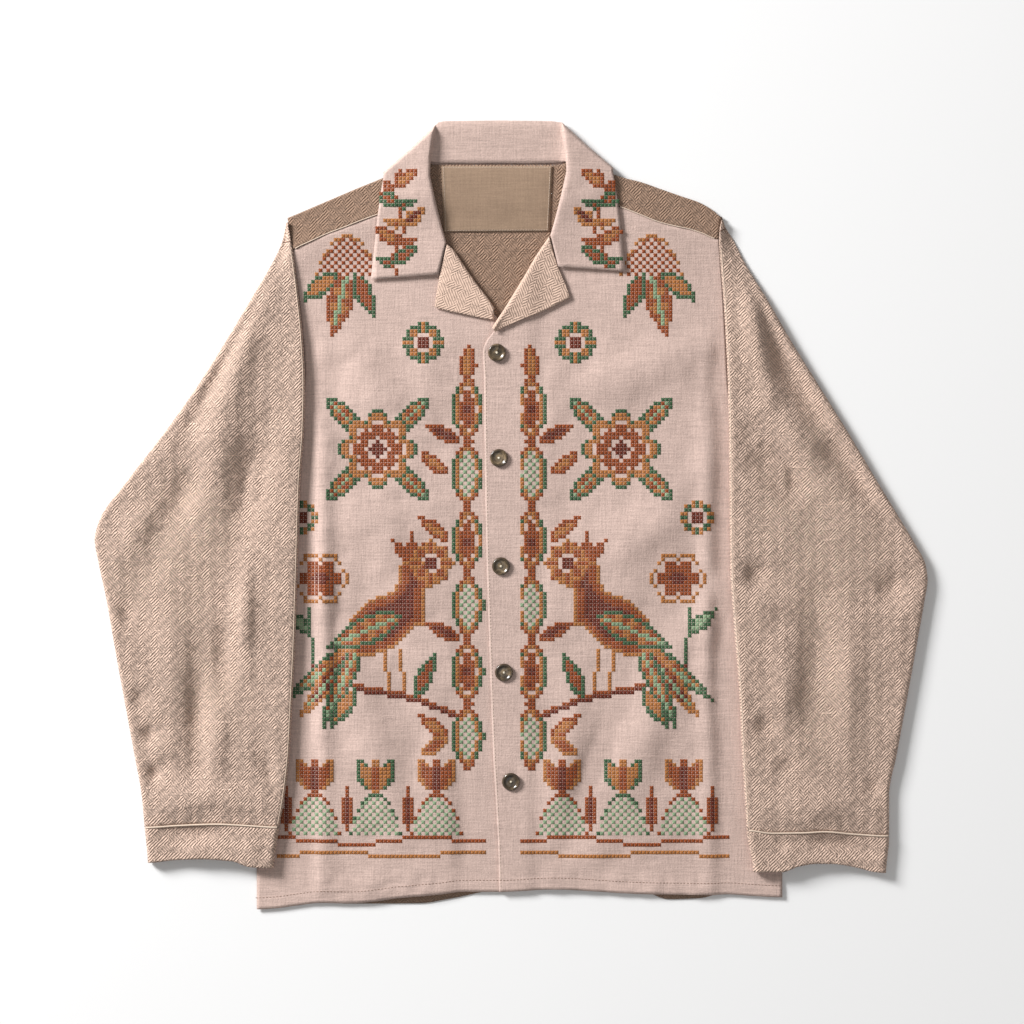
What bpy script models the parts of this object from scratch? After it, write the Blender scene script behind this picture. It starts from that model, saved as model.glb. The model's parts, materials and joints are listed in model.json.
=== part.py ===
"""A long-sleeved shirt with an open camp collar, buttoned and laid flat on its back.

Plan positions are millimetres on the cutting table: across runs towards the wearer's left
sleeve, down runs towards the hem. Heights are millimetres above the table. Every piece is an
open sheet through its cloth's middle, and Solidify gives it its wall.
"""

import math

import bmesh
import bpy
from mathutils import Vector

MM = 0.001

# Plan point that lies over the origin, and the line that the neck is symmetric about
TABLE_ACROSS, TABLE_DOWN = 511.26, 514.8
NECK_CENTRE = 498.3

# Cloth walls and the clearance between layers
BODY_WALL = 1.2
SLEEVE_WALL = 1.4
CUFF_WALL = 1.8
LABEL_WALL = 1.0
LAYER_GAP = 0.4
SEAM_GAP = 0.35

# Height of the cloth's middle on the table, and from one body layer to the next
BACK_MIDDLE = BODY_WALL / 2
BODY_STEP = BODY_WALL + LAYER_GAP
SHOULDER_FOLD = 1.5

# Sleeves: distance between the middles of the two layers, off the body and on it
SLEEVE_PUFF = 3.0
SLEEVE_PUFF_ON_BODY = 2.6
UNDERARM_DOWN = 463.0

# Where a sleeve's lower layer steps off the body: clearance, width of the step, and its foot
SIDE_CLEARANCE = 0.8
STEP_OFF = 12.5
TUBE_FOOT = 13.5
ARMHOLE_FOOT = 2.6

# Where the armhole's upper layer climbs to the tube: start, and reach of the seam's crown
CLIMB_START = 380.0
CROWN_REACH = 30.0
PUFF_REACH = 20.0

# A sleeve's folded edges: longest turn, its share of a narrow sleeve, and the flat beside it
FOLD_TURN = 3.5
FOLD_TURN_SHARE = 0.16
FLAT_BY_FOLD, FLAT_FADE = 4.0, 20.0
NARROW_SLEEVE = 60.0

# The middle point of a rounded corner: shares of its reach and of its rise
ARC_REACH, ARC_RISE = 0.29, 0.71

# Piped seam to the cuff's first ring
CUFF_START = 1.0

# Collar and lapels: height of the stand, and how far the leaves stand proud
STAND_HEIGHT = 4.6
STAND_LIFT = 0.3
STAND_FROM, STAND_RAMP = 180.0, 40.0
FALL_LIFT = (2.6, 2.2, 1.6, 1.1, 0.6)
LAPEL_LIFT = (2.4, 2.0, 1.4, 0.9, 0.5)
TUCK = 0.8
LEAST_ROLL = 1.4
ROOT_SHARE = 0.8
LAPEL_BOW = 0.16

# The left leaf lies this much higher than the right one: at the neck, and for each mm below
LEAF_RAISE, LEAF_RAISE_GROWTH, LEAF_TOP = 3.0, 0.033, 125.0

# Where the over front comes down off the under front's edge, and its clearance
LAP_EDGE, LAP_RAMP = 524.0, 22.0
LAP_CLEARANCE = 0.2

# The fronts lie flat outside these lines, each with the width of its ramp
FLAT_SIDES, SIDE_RAMP = (312.0, 720.0), 24.0
FLAT_PLACKET, PLACKET_RAMP = (462.0, 545.0), 22.0
FLAT_TOP, TOP_RAMP = 330.0, 24.0
FLAT_HEM, HEM_RAMP = 912.0, 40.0

# Downs at which a panel's side edges are first read for its hem and its top
HEM_READ, TOP_READ = 900.0, 240.0

# Shoulder ends, the columns of the back and which of them lie at the neck
SHOULDER_ENDS = (288.0, 722.0)
SHOULDER_COLUMNS, NECK_COLUMNS = 8, 6
STRIP_FADE = 60.0

BUTTON_STEPS = 20

# Side and armhole edges of the body: down, across
BODY_RIGHT_EDGE = (
    (219, 288.0), (232, 290.0), (243, 291.8), (262, 294.6), (300, 299.3), (340, 303.3),
    (372, 305.3), (395, 302.5), (418, 292.0), (438, 276.0), (454, 259.0), (475, 257.0),
    (910, 257.0),
)
BODY_LEFT_EDGE = (
    (219, 722.0), (230, 719.5), (237, 718.3), (256, 719.9), (300, 723.3), (340, 725.6),
    (372, 727.3), (395, 729.5), (418, 741.0), (438, 759.0), (454, 779.5), (475, 782.0),
    (910, 782.0),
)

# Shoulder fold, and the seam where the back's shoulder meets the fronts: across, down
SHOULDER_LINE = (
    (284, 221.5), (288, 220.0), (320, 206.5), (340, 198.0), (360, 189.5), (384, 180.0),
    (424, 164.0), (436, 165.0), (560, 165.0), (572, 160.5), (612, 176.3), (622, 179.6),
    (640, 184.0), (660, 191.0), (680, 198.0), (700, 205.0), (712, 212.0), (722, 219.5),
)
FORWARD_SEAM = (
    (291, 250.5), (301, 246.0), (311, 241.5), (326, 234.5), (345, 227.3), (360, 221.3),
    (377, 215.0), (430, 196.0), (569, 189.6), (595, 199.0), (622, 208.0), (640, 215.0),
    (659, 222.5), (674, 226.3), (689, 229.5), (701, 233.3), (718, 239.5),
)
NECK_CORNERS = (424.0, 572.5)

# Hems of the fronts and of the back: across, down
FRONT_HEM = (
    (257, 909.0), (276, 908.0), (298, 905.0), (321, 902.5), (350, 903.0), (374, 901.0),
    (400, 897.5), (440, 894.0), (463, 891.5), (499, 891.5), (521, 890.5), (551, 889.0),
    (640, 893.5), (710, 894.6), (727, 894.0), (752, 895.6), (782, 897.0),
)
BACK_HEM = (
    (257, 905.0), (320, 900.5), (345, 903.5), (420, 903.0), (450, 898.5), (495, 890.0),
    (560, 886.0), (640, 890.0), (668, 899.0), (700, 898.0), (730, 891.0), (782, 894.0),
)

# Roll line and front edge of each front: down, across
UNDER_FRONT_EDGE = (
    (196, 430.2), (215, 434.6), (231, 438.4), (245, 443.0), (263, 457.0), (281, 469.0),
    (299, 483.2), (309, 489.6), (320, 499.0), (335, 508.0), (350, 514.0), (370, 518.5),
    (400, 520.0), (891, 521.0),
)
OVER_FRONT_EDGE = (
    (190, 569.4), (206, 564.3), (221, 560.0), (236, 555.2), (240, 552.6), (247, 546.4),
    (266, 535.6), (283, 525.6), (299, 515.6), (317, 504.6), (326, 498.2), (335, 491.0),
    (343, 485.4), (352, 482.8), (381, 484.0), (440, 484.5), (540, 486.0), (640, 489.0),
    (748, 492.8), (801, 495.8), (860, 498.5), (892, 499.0),
)

# Where the collar's fall lies under the back and lifts it: across, lowest point down
FALL_REACH = (
    (340, 138.0), (368, 156.0), (382, 181.0), (412, 199.0), (455, 201.0), (541, 200.0),
    (584, 196.0), (614, 176.0), (628, 152.0), (656, 134.0),
)
FALL_RAMP = 24.0
SEAM_RAMP = 45.0

# Sleeves: down, across at the armhole or inner fold, across at the outer fold
RIGHT_SLEEVE = (
    (232, 289.6, 284.6), (243, 291.4, 281.8), (262, 294.3, 273.0), (300, 299.0, 251.0),
    (340, 303.0, 227.0), (386, 305.2, 198.0), (430, 304.2, 167.0), (482, 300.4, 127.0),
    (520, 299.0, 100.0), (540, 298.5, 95.0), (560, 298.0, 98.5), (600, 296.7, 107.0),
    (640, 295.5, 114.0), (690, 293.0, 123.0), (755, 289.5, 135.0), (794, 285.0, 142.0),
    (826, 279.5, 145.0), (868, 273.5, 148.5),
)
LEFT_SLEEVE = (
    (228, 719.8, 725.6), (240, 719.0, 733.0), (262, 720.4, 744.0), (300, 723.5, 767.0),
    (340, 725.8, 790.0), (386, 727.8, 818.5), (430, 728.8, 846.0), (482, 729.3, 877.0),
    (520, 729.6, 900.0), (545, 729.9, 915.0), (565, 730.1, 925.0), (580, 730.6, 927.0),
    (600, 732.0, 924.0), (640, 735.0, 917.0), (690, 739.0, 908.0), (755, 742.0, 896.0),
    (794, 744.5, 888.5), (832, 746.8, 888.5), (872, 753.5, 885.5),
)

# Rings of a sleeve from the cuff to the underarm and up the armhole, and the steps between
# ring points that the armhole leaves open
TUBE_ROWS = (794, 755, 715, 675, 640, 610, 588, 570, 550, 530, 505, 483, UNDERARM_DOWN)
ARMHOLE_ROWS = (454, 438, 418, 395, 372, 345, 315, 285, 262, 245, 233)
HOLE_COLUMNS = range(9, 13)

# Piped seam above each cuff, and the cuff's mouth: across, down
RIGHT_PIPING = ((145, 826.5), (181, 824.5), (220, 823.0), (242, 824.0), (279, 826.0))
RIGHT_MOUTH = ((148, 862.0), (178, 859.0), (201, 858.0), (232, 860.0), (252, 866.0), (274, 867.0))
LEFT_PIPING = ((746, 829.0), (771, 832.0), (801, 831.6), (824, 830.6), (852, 833.0), (889, 835.0))
LEFT_MOUTH = (
    (753, 871.0), (781, 871.0), (797, 865.6), (815, 862.7), (832, 863.0), (857, 867.0),
    (873, 871.0), (886, 872.0),
)

# Soft folds in the fronts: across and down of both ends, half width, height
FRONT_FOLDS = (
    (338, 352, 420, 430, 20, 1.6),
    (345, 470, 440, 640, 24, 1.4),
    (330, 600, 400, 840, 22, 1.8),
    (420, 660, 452, 860, 16, 1.3),
    (560, 400, 700, 345, 22, 1.5),
    (570, 600, 700, 480, 26, 1.8),
    (600, 850, 690, 640, 24, 1.6),
    (560, 860, 575, 660, 16, 1.3),
)

# Soft folds in the sleeves, in the same columns
SLEEVE_FOLDS = (
    (285, 420, 150, 560, 26, 1.9),
    (280, 520, 165, 700, 24, 1.7),
    (200, 560, 190, 800, 20, 1.5),
    (250, 640, 235, 815, 16, 1.5),
    (250, 330, 215, 450, 18, 1.4),
    (745, 420, 870, 560, 26, 1.8),
    (750, 520, 850, 700, 24, 1.7),
    (830, 600, 825, 800, 20, 1.6),
    (775, 640, 785, 815, 16, 1.5),
    (760, 320, 800, 450, 18, 1.4),
)

# The right half of the collar, from the gorge to the centre back, about the neck's centre.
# Columns: crest, middle and outer edge of the fall, then the neck seam (each from the centre
# and down), and the side that the fall lies on: 1 over the fronts, -1 under the back
COLLAR_STATIONS = (
    (-52.3, 243.0, -59.8, 275.0, -127.3, 280.0, None, None, 1.0),
    (-56.5, 228.0, -71.0, 254.0, -125.3, 262.0, None, None, 1.0),
    (-60.5, 212.0, -82.0, 230.0, -123.3, 243.0, None, None, 1.0),
    (-64.5, 195.0, -88.0, 208.0, -121.0, 222.0, None, None, 1.0),
    (-68.3, 177.0, -91.0, 188.0, -118.5, 203.0, -71.5, 180.0, 1.0),
    (-68.0, 158.0, -90.0, 172.0, -116.3, 188.0, -67.6, 161.8, 1.0),
    (-65.5, 141.0, -88.0, 158.5, -114.6, 179.0, -61.0, 162.6, 1.0),
    (-64.3, 131.5, -87.3, 152.6, -114.4, 175.6, -57.0, 163.2, 0.8),
    (-63.3, 126.4, -87.0, 149.0, -114.6, 173.2, -52.3, 163.4, 0.0),
    (-59.8, 122.8, -84.5, 151.5, -112.2, 175.6, -47.3, 163.5, -1.0),
    (-53.0, 121.8, -74.0, 157.0, -98.0, 187.0, -40.0, 163.6, -1.0),
    (-38.0, 121.6, -48.0, 157.0, -62.0, 193.0, -28.0, 163.7, -1.0),
    (-18.0, 121.4, -23.0, 157.0, -29.0, 194.0, -14.0, 163.7, -1.0),
    (0.0, 121.2, 0.0, 157.0, 0.0, 194.0, 0.0, 163.7, -1.0),
)

# Lapels from the gorge to the foot of the roll: crest and outer edge, across and down
RIGHT_LAPEL = (
    (447.0, 244.6, 440.0, 276.4),
    (454.0, 251.0, 437.0, 291.0),
    (461.5, 262.5, 434.6, 307.6),
    (468.0, 272.5, 447.0, 311.0),
    (474.5, 281.8, 460.0, 313.8),
    (481.0, 290.2, 472.0, 316.3),
    (488.0, 299.2, 484.0, 318.7),
    (494.0, 308.2, 494.0, 320.0),
)
LEFT_LAPEL = (
    (549.2, 237.2, 557.4, 268.6),
    (542.5, 247.0, 564.7, 283.0),
    (535.0, 258.5, 570.0, 298.0),
    (527.0, 272.8, 553.0, 306.8),
    (519.0, 286.2, 538.0, 313.8),
    (511.5, 298.4, 524.0, 319.0),
    (504.5, 309.8, 511.0, 324.6),
    (498.0, 319.4, 501.0, 329.0),
    (492.5, 328.0, 495.0, 332.4),
)

# Neck label: corners clockwise from the top right of the wearer, across and down
LABEL_CORNERS = ((441.5, 166.6), (552.5, 166.6), (549.5, 231.5), (443.5, 232.0))

# Button centres on the over front: across, down
BUTTON_PLACES = ((497.0, 353.0), (499.0, 458.0), (501.0, 566.0), (504.0, 672.0), (511.0, 781.0))

# A button's section from the top's centre to the underside's centre: radius, height
BUTTON_PROFILE = (
    (0.0, 2.5), (2.2, 2.2), (4.4, 1.8), (6.0, 2.3), (7.2, 3.3), (8.2, 3.4), (9.0, 2.5),
    (8.8, 1.1), (7.2, 0.2), (0.0, 0.0),
)

# Colours and roughness of the finishes
FINISHES = {
    "linen": ((0.62, 0.46, 0.40, 1.0), 0.92),
    "cotton": ((0.60, 0.47, 0.36, 1.0), 0.95),
    "label": ((0.66, 0.52, 0.36, 1.0), 0.90),
    "horn": ((0.055, 0.042, 0.030, 1.0), 0.30),
}


def clear_scene():
    for obj in list(bpy.data.objects):
        bpy.data.objects.remove(obj, do_unlink=True)


def through(points, value_column=1):
    """A smooth function through the table's points, level past both ends."""
    ats = [row[0] for row in points]
    values = [row[value_column] for row in points]
    secants = [(values[i + 1] - values[i]) / (ats[i + 1] - ats[i]) for i in range(len(ats) - 1)]
    slopes = [0.0] * len(ats)
    for i in range(1, len(ats) - 1):
        before, after = secants[i - 1], secants[i]
        if before * after > 0:
            slopes[i] = 2 * before * after / (before + after)

    def value(at):
        if at <= ats[0]:
            return values[0]
        if at >= ats[-1]:
            return values[-1]
        i = max(k for k in range(len(ats) - 1) if ats[k] <= at)
        span = ats[i + 1] - ats[i]
        t = (at - ats[i]) / span
        keep, lead = 1 - t * t * (3 - 2 * t), t * (1 - t) ** 2 * span
        trail = t * t * (t - 1) * span
        return values[i] * keep + values[i + 1] * (1 - keep) + slopes[i] * lead + slopes[i + 1] * trail

    return value


def ease(t):
    """A soft step from 0 to 1."""
    t = min(max(t, 0.0), 1.0)
    return t * t * (3 - 2 * t)


def mix(a, b, t):
    return a + (b - a) * t


def fold_height(folds, across, down):
    """Height of the soft folds at a plan point."""
    total = 0.0
    for x0, y0, x1, y1, half_width, height in folds:
        run = (x1 - x0) ** 2 + (y1 - y0) ** 2
        t = ((across - x0) * (x1 - x0) + (down - y0) * (y1 - y0)) / run
        t = min(max(t, 0.0), 1.0)
        gap = math.hypot(across - mix(x0, x1, t), down - mix(y0, y1, t))
        fade = math.sin(math.pi * min(max(t, 0.12), 0.88))
        total += height * fade * math.exp(-((gap / half_width) ** 2))
    return total


body_right_edge = through(BODY_RIGHT_EDGE)
body_left_edge = through(BODY_LEFT_EDGE)
shoulder_line = through(SHOULDER_LINE)
forward_seam = through(FORWARD_SEAM)
front_hem = through(FRONT_HEM)
back_hem = through(BACK_HEM)
under_front_edge = through(UNDER_FRONT_EDGE)
over_front_edge = through(OVER_FRONT_EDGE)
fall_reach = through(FALL_REACH)


def back_middle(across, down):
    """Height of the back's middle, which rises over the collar's fall."""
    raised = 1 - ease((down - fall_reach(across)) / FALL_RAMP)
    return BACK_MIDDLE + BODY_STEP * raised


def shoulder_middle(across, down):
    """Height of the back's shoulder after it has folded forward."""
    return back_middle(across, down) + 2 * SHOULDER_FOLD


def front_middle(across, down):
    """Height of a front that lies on the back and meets the shoulder at the forward seam."""
    seam_lift = 1 - ease((down - forward_seam(across)) / SEAM_RAMP)
    right, left = FLAT_SIDES
    sides = ease((across - right) / SIDE_RAMP) * ease((left - across) / SIDE_RAMP)
    right, left = FLAT_PLACKET
    placket = ease((right - across) / PLACKET_RAMP) + ease((across - left) / PLACKET_RAMP)
    ends = ease((down - FLAT_TOP) / TOP_RAMP) * ease((FLAT_HEM - down) / HEM_RAMP)
    window = sides * placket * ends
    step = mix(BODY_STEP, 2 * SHOULDER_FOLD, seam_lift)
    return back_middle(across, down) + step + window * fold_height(FRONT_FOLDS, across, down)


def over_front_middle(across, down):
    """The over front steps up where it laps the under front."""
    lap = 1 - ease((across - LAP_EDGE) / LAP_RAMP)
    return front_middle(across, down) + (BODY_STEP + LAP_CLEARANCE) * lap


def top_layer_middle(across, down):
    """Height of what a collar leaf lies on."""
    if down < forward_seam(across):
        return shoulder_middle(across, down)
    return front_middle(across, down)


def finish_material(name):
    colour, roughness = FINISHES[name]
    material = bpy.data.materials.get(name) or bpy.data.materials.new(name)
    material.use_nodes = True
    shader = material.node_tree.nodes["Principled BSDF"]
    shader.inputs["Base Color"].default_value = colour
    shader.inputs["Roughness"].default_value = roughness
    return material


def sheet(name, rows, wall, finish, collection, left_out=None, closed=False):
    """A cloth piece through rows of plan points, each (across, down, height), hem row first."""
    columns = len(rows[0])
    bm = bmesh.new()
    bmesh.ops.create_grid(bm, x_segments=columns - 1, y_segments=len(rows) - 1)
    bm.verts.ensure_lookup_table()
    bm.faces.ensure_lookup_table()
    for index, vertex in enumerate(bm.verts):
        across, down, height = rows[index // columns][index % columns]
        vertex.co = ((across - TABLE_ACROSS) * MM, (TABLE_DOWN - down) * MM, height * MM)
    if left_out:
        holes = [
            face for index, face in enumerate(bm.faces)
            if left_out(index // (columns - 1), index % (columns - 1))
        ]
        bmesh.ops.delete(bm, geom=holes, context="FACES")
    if closed:
        bmesh.ops.remove_doubles(bm, verts=bm.verts, dist=0.00001)
    mesh = bpy.data.meshes.new(name)
    bm.to_mesh(mesh)
    bm.free()
    mesh.materials.append(finish_material(finish))
    mesh.shade_smooth()
    obj = bpy.data.objects.new(name, mesh)
    collection.objects.link(obj)
    shell = obj.modifiers.new("wall", "SOLIDIFY")
    shell.thickness = wall * MM
    shell.offset = 0.0
    return obj


def panel_rows(edge_a, edge_b, bottom, top, columns, row_shares, middle, seam_gap=0.0):
    """Rows of a panel between two side edges, given by down, and two ends, given by across."""
    low_a, low_b = (edge(bottom(edge(HEM_READ))) for edge in (edge_a, edge_b))
    high_a, high_b = (edge(top(edge(TOP_READ))) for edge in (edge_a, edge_b))
    rows = []
    for share in row_shares:
        a = edge_a(mix(bottom(low_a), top(high_a), share))
        b = edge_b(mix(bottom(low_b), top(high_b), share))
        row = []
        for t in columns:
            end = top(mix(high_a, high_b, t)) + seam_gap
            down = mix(bottom(mix(low_a, low_b, t)), end, share)
            across = mix(a, b, t)
            row.append((across, down, middle(across, down)))
        rows.append(row)
    return rows


def shares(*stretches):
    """Shares from 0 to 1: each stretch is (end share, steps)."""
    found, start = [0.0], 0.0
    for end, steps in stretches:
        found += [mix(start, end, (i + 1) / steps) for i in range(steps)]
        start = end
    return found


def make_back(collection):
    """The back, whose shoulders fold over to the forward seams."""
    high_a = body_right_edge(shoulder_line(SHOULDER_ENDS[0]))
    high_b = body_left_edge(shoulder_line(SHOULDER_ENDS[1]))
    neck = [(corner - high_a) / (high_b - high_a) for corner in NECK_CORNERS]
    columns = shares(
        (neck[0], SHOULDER_COLUMNS), (neck[1], NECK_COLUMNS), (1.0, SHOULDER_COLUMNS)
    )
    row_shares = shares((0.64, 7), (0.80, 8), (1.0, 10))
    rows = panel_rows(
        body_right_edge, body_left_edge, back_hem, shoulder_line, columns, row_shares, back_middle
    )
    body_rows = len(rows)
    edge = rows[-1]
    for angle in (-60, -30, 0, 30, 60, 90):
        turn = math.radians(angle)
        forward = SHOULDER_FOLD * math.cos(turn)
        rise = SHOULDER_FOLD * (1 + math.sin(turn))
        rows.append([(x, y - forward, back_middle(x, y) + rise) for x, y, _ in edge])
    ends = []
    for x, y, _ in edge:
        side_edge = body_right_edge if x < NECK_CENTRE else body_left_edge
        shift = side_edge(forward_seam(x)) - side_edge(y)
        across = x + shift * ease(1 - abs(x - side_edge(y)) / STRIP_FADE)
        ends.append((across, forward_seam(across) - SEAM_GAP))
    for share in (0.33, 0.67, 1.0):
        row = []
        for (x, y, _), (end_across, end_down) in zip(edge, ends):
            across, down = mix(x, end_across, share), mix(y, end_down, share)
            row.append((across, down, shoulder_middle(across, down)))
        rows.append(row)

    def neck_gap(row, column):
        at_neck = SHOULDER_COLUMNS <= column < SHOULDER_COLUMNS + NECK_COLUMNS
        return row >= body_rows - 1 and at_neck

    return sheet("back", rows, BODY_WALL, "cotton", collection, neck_gap)


def make_fronts(collection):
    row_shares = shares((0.66, 12), (0.83, 8), (1.0, 9))
    under_columns = shares((1.0, 13))
    under = panel_rows(
        body_right_edge, under_front_edge, front_hem, forward_seam, under_columns, row_shares,
        front_middle, SEAM_GAP,
    )
    sheet("front_right", under, BODY_WALL, "linen", collection)
    over_columns = shares((0.18, 4), (1.0, 10))
    over = panel_rows(
        over_front_edge, body_left_edge, front_hem, forward_seam, over_columns, row_shares,
        over_front_middle, SEAM_GAP,
    )
    sheet("front_left", over, BODY_WALL, "linen", collection)


def sleeve_ring(side, inner, outer, down, wall, on_tube):
    """One ring of a sleeve from its outer fold over the top to its inner fold and back under."""
    body_edge = body_right_edge if side < 0 else body_left_edge
    width = abs(inner - outer)
    towards = (inner - outer) / width
    skin = wall / 2
    turn = min(FOLD_TURN, FOLD_TURN_SHARE * width)
    outer += towards * skin

    def height_on_body(x):
        return front_middle(x, down) + BODY_WALL / 2 + LAYER_GAP + skin

    def off_body(x):
        return (body_edge(down) - x) * towards

    def below(x):
        if not on_tube:
            return skin
        return mix(height_on_body(x), skin, ease((off_body(x) - SIDE_CLEARANCE) / STEP_OFF))

    def above(x):
        puff = mix(SLEEVE_PUFF_ON_BODY, SLEEVE_PUFF, ease(off_body(x) / PUFF_REACH))
        puff += wall - SLEEVE_WALL
        near_fold = min(abs(x - inner), abs(x - outer))
        folds = 0.0
        if on_tube or width > NARROW_SLEEVE:
            folds = fold_height(SLEEVE_FOLDS, x, down)
            folds *= ease((near_fold - FLAT_BY_FOLD) / FLAT_FADE)
        if on_tube:
            return below(x) + puff + folds
        climb = ease((down - CLIMB_START) / (UNDERARM_DOWN - CLIMB_START))
        crown = height_on_body(inner) + SLEEVE_PUFF_ON_BODY * climb
        return mix(skin + puff + folds, crown, ease(1 - abs(x - inner) / CROWN_REACH))

    def halfway(x):
        return (below(x) + above(x)) / 2

    def rounded(x, height):
        return x, mix(halfway(x), height, ARC_RISE)

    def in_from(edge, share):
        reach = towards * turn * share
        return edge + reach if edge == outer else edge - reach

    top = [in_from(outer, ARC_REACH), in_from(outer, 1.0)]
    top += [mix(outer, inner, share) for share in (0.22, 0.41, 0.59, 0.78)]
    top += [in_from(inner, 1.0), in_from(inner, 0.35)]
    upper = [(x, above(x)) for x in top]
    upper[0] = rounded(*upper[0])
    if on_tube:
        upper[-1] = rounded(*upper[-1])
        inner_end = (inner - towards * skin, halfway(inner))
        beside = body_edge(down) - towards * SIDE_CLEARANCE
        over_body = [in_from(inner, ARC_REACH), in_from(inner, 1.0), beside]
        foot = body_edge(down) - towards * TUBE_FOOT
    else:
        inner_end = (inner, height_on_body(inner))
        over_body = [in_from(inner, ARC_REACH)] * 3
        foot = body_edge(down) - towards * ARMHOLE_FOOT
    bottom = over_body + [foot] + [mix(foot, outer, share) for share in (0.3, 0.6)]
    bottom += [in_from(outer, 1.0), in_from(outer, ARC_REACH)]
    lower = [(x, below(x)) for x in bottom]
    lower[0] = rounded(*lower[0])
    lower[-1] = rounded(*lower[-1])
    ring = [(outer, halfway(outer)), *upper, inner_end, *lower, (outer, halfway(outer))]
    return ring if side < 0 else ring[::-1]


def make_sleeve(name, side, table, piping, collection):
    inner_at, outer_at = through(table), through(table, 2)
    seam = through(piping)

    def ring(down, on_tube=True):
        return sleeve_ring(side, inner_at(down), outer_at(down), down, SLEEVE_WALL, on_tube)

    rows = [[(x, seam(x) - SEAM_GAP, z) for x, z in ring(piping[0][1])]]
    rows += [[(x, down, z) for x, z in ring(down)] for down in TUBE_ROWS]
    rows += [[(x, down, z) for x, z in ring(down, False)] for down in ARMHOLE_ROWS]

    def armhole(row, column):
        place = column if side < 0 else len(rows[0]) - 2 - column
        return row >= len(TUBE_ROWS) and place in HOLE_COLUMNS

    return sheet(name, rows, SLEEVE_WALL, "cotton", collection, armhole, True)


def make_cuff(name, side, table, piping, mouth, collection):
    inner_at, outer_at = through(table), through(table, 2)
    seam, lip = through(piping), through(mouth)
    rows = []
    for share in (1.0, 0.5, 0.0):
        down = mix(piping[0][1] + CUFF_START, mouth[0][1], share)
        ring = sleeve_ring(side, inner_at(down), outer_at(down), down, CUFF_WALL, True)
        rows.append([(x, mix(seam(x) + 2 * SEAM_GAP, lip(x), share), z) for x, z in ring])
    return sheet(name, rows, CUFF_WALL, "cotton", collection, None, True)


def rolled_profile(crest, middle, outer, seam, stand, leaf):
    """Points from the neck seam over the crest to a leaf's outer edge, with their heights."""
    crest, middle, outer, seam = (Vector(point) for point in (crest, middle, outer, seam))
    to_seam = (seam - crest).normalized()
    to_leaf = (middle - crest).normalized()
    seam_height, stand_height = stand
    leaf_heights = leaf((crest, (crest + middle) / 2, middle, (middle + outer) / 2, outer))
    radius = max(abs(leaf_heights[0] - stand_height) / 2, LEAST_ROLL)
    centre = (leaf_heights[0] + stand_height) / 2
    root = crest + to_seam * min(radius, ROOT_SHARE * (seam - crest).length)
    return [
        (*seam, seam_height),
        (*((seam + root) / 2), (seam_height + stand_height) / 2),
        (*root, stand_height),
        (*(crest + (root - crest) * ARC_REACH), mix(centre, stand_height, ARC_RISE)),
        (*crest, centre),
        (*(crest + to_leaf * radius * ARC_REACH), mix(centre, leaf_heights[0], ARC_RISE)),
        (*(crest + to_leaf * radius), leaf_heights[0]),
        (*((crest + middle) / 2), leaf_heights[1]),
        (*middle, leaf_heights[2]),
        (*((middle + outer) / 2), leaf_heights[3]),
        (*outer, leaf_heights[4]),
    ]


def leaf_on(layer, side, lift):
    """Heights of a leaf that lies on a layer, on the table, or between the two."""

    def heights(places):
        found = []
        for place, proud in zip(places, lift):
            over = layer(place.x, place.y) + BODY_STEP + proud
            found.append(mix(BACK_MIDDLE, over, (1 + side) / 2))
        return found

    return heights


def roll_normal(points, index, towards):
    """Direction across the roll line at one of its points, to the leaf's side."""
    before = Vector(points[max(index - 1, 0)])
    after = Vector(points[min(index + 1, len(points) - 1)])
    run = (after - before).normalized()
    normal = Vector((-run.y, run.x))
    return normal if normal.dot(towards) > 0 else -normal


def behind_roll(crest, normal, lift):
    """The hidden edge of a piece that turns back at a roll line, tucked under its own leaf."""
    return Vector(crest) + normal * ((BODY_STEP + lift[0]) / 2 + TUCK)


def collar_station(index, mirrored):
    """One section of the collar: crest, middle, outer edge and seam, heights and side."""
    crest_x, crest_y, mid_x, mid_y, out_x, out_y, seam_x, seam_y, side = COLLAR_STATIONS[index]
    points = [(crest_x, crest_y), (mid_x, mid_y), (out_x, out_y)]
    if seam_x is None:
        crests = [row[:2] for row in COLLAR_STATIONS]
        normal = roll_normal(crests, index, Vector((-1.0, 0.2)))
        points.append(tuple(behind_roll(points[0], normal, FALL_LIFT)))
    else:
        points.append((seam_x, seam_y))
    if mirrored:
        raised = ease((1 + side) * 2)
        points = [
            (-x, y - (LEAF_RAISE + LEAF_RAISE_GROWTH * (y - LEAF_TOP)) * raised) for x, y in points
        ]
    crest, middle, outer, seam = ((NECK_CENTRE + x, y) for x, y in points)
    base = front_middle(*seam)
    stand = (base, base)
    if seam_x is not None:
        back_share = ease((STAND_FROM - crest_y) / STAND_RAMP)
        foot = mix(base, back_middle(*seam) + STAND_LIFT, back_share)
        stand = (foot, mix(base, STAND_HEIGHT, back_share))
    return crest, middle, outer, seam, stand, side


def make_collar(collection):
    """One band round the neck: its stand rises from the neck seam and its fall turns over."""
    columns = []
    count = len(COLLAR_STATIONS)
    order = [(i, False) for i in range(count)] + [(i, True) for i in range(count - 2, -1, -1)]
    for index, mirrored in order:
        crest, middle, outer, seam, stand, side = collar_station(index, mirrored)
        leaf = leaf_on(top_layer_middle, side, FALL_LIFT)
        columns.append(rolled_profile(crest, middle, outer, seam, stand, leaf)[::-1])
    rows = [[column[point] for column in columns] for point in range(len(columns[0]))]
    return sheet("collar", rows, BODY_WALL, "linen", collection)


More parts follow.
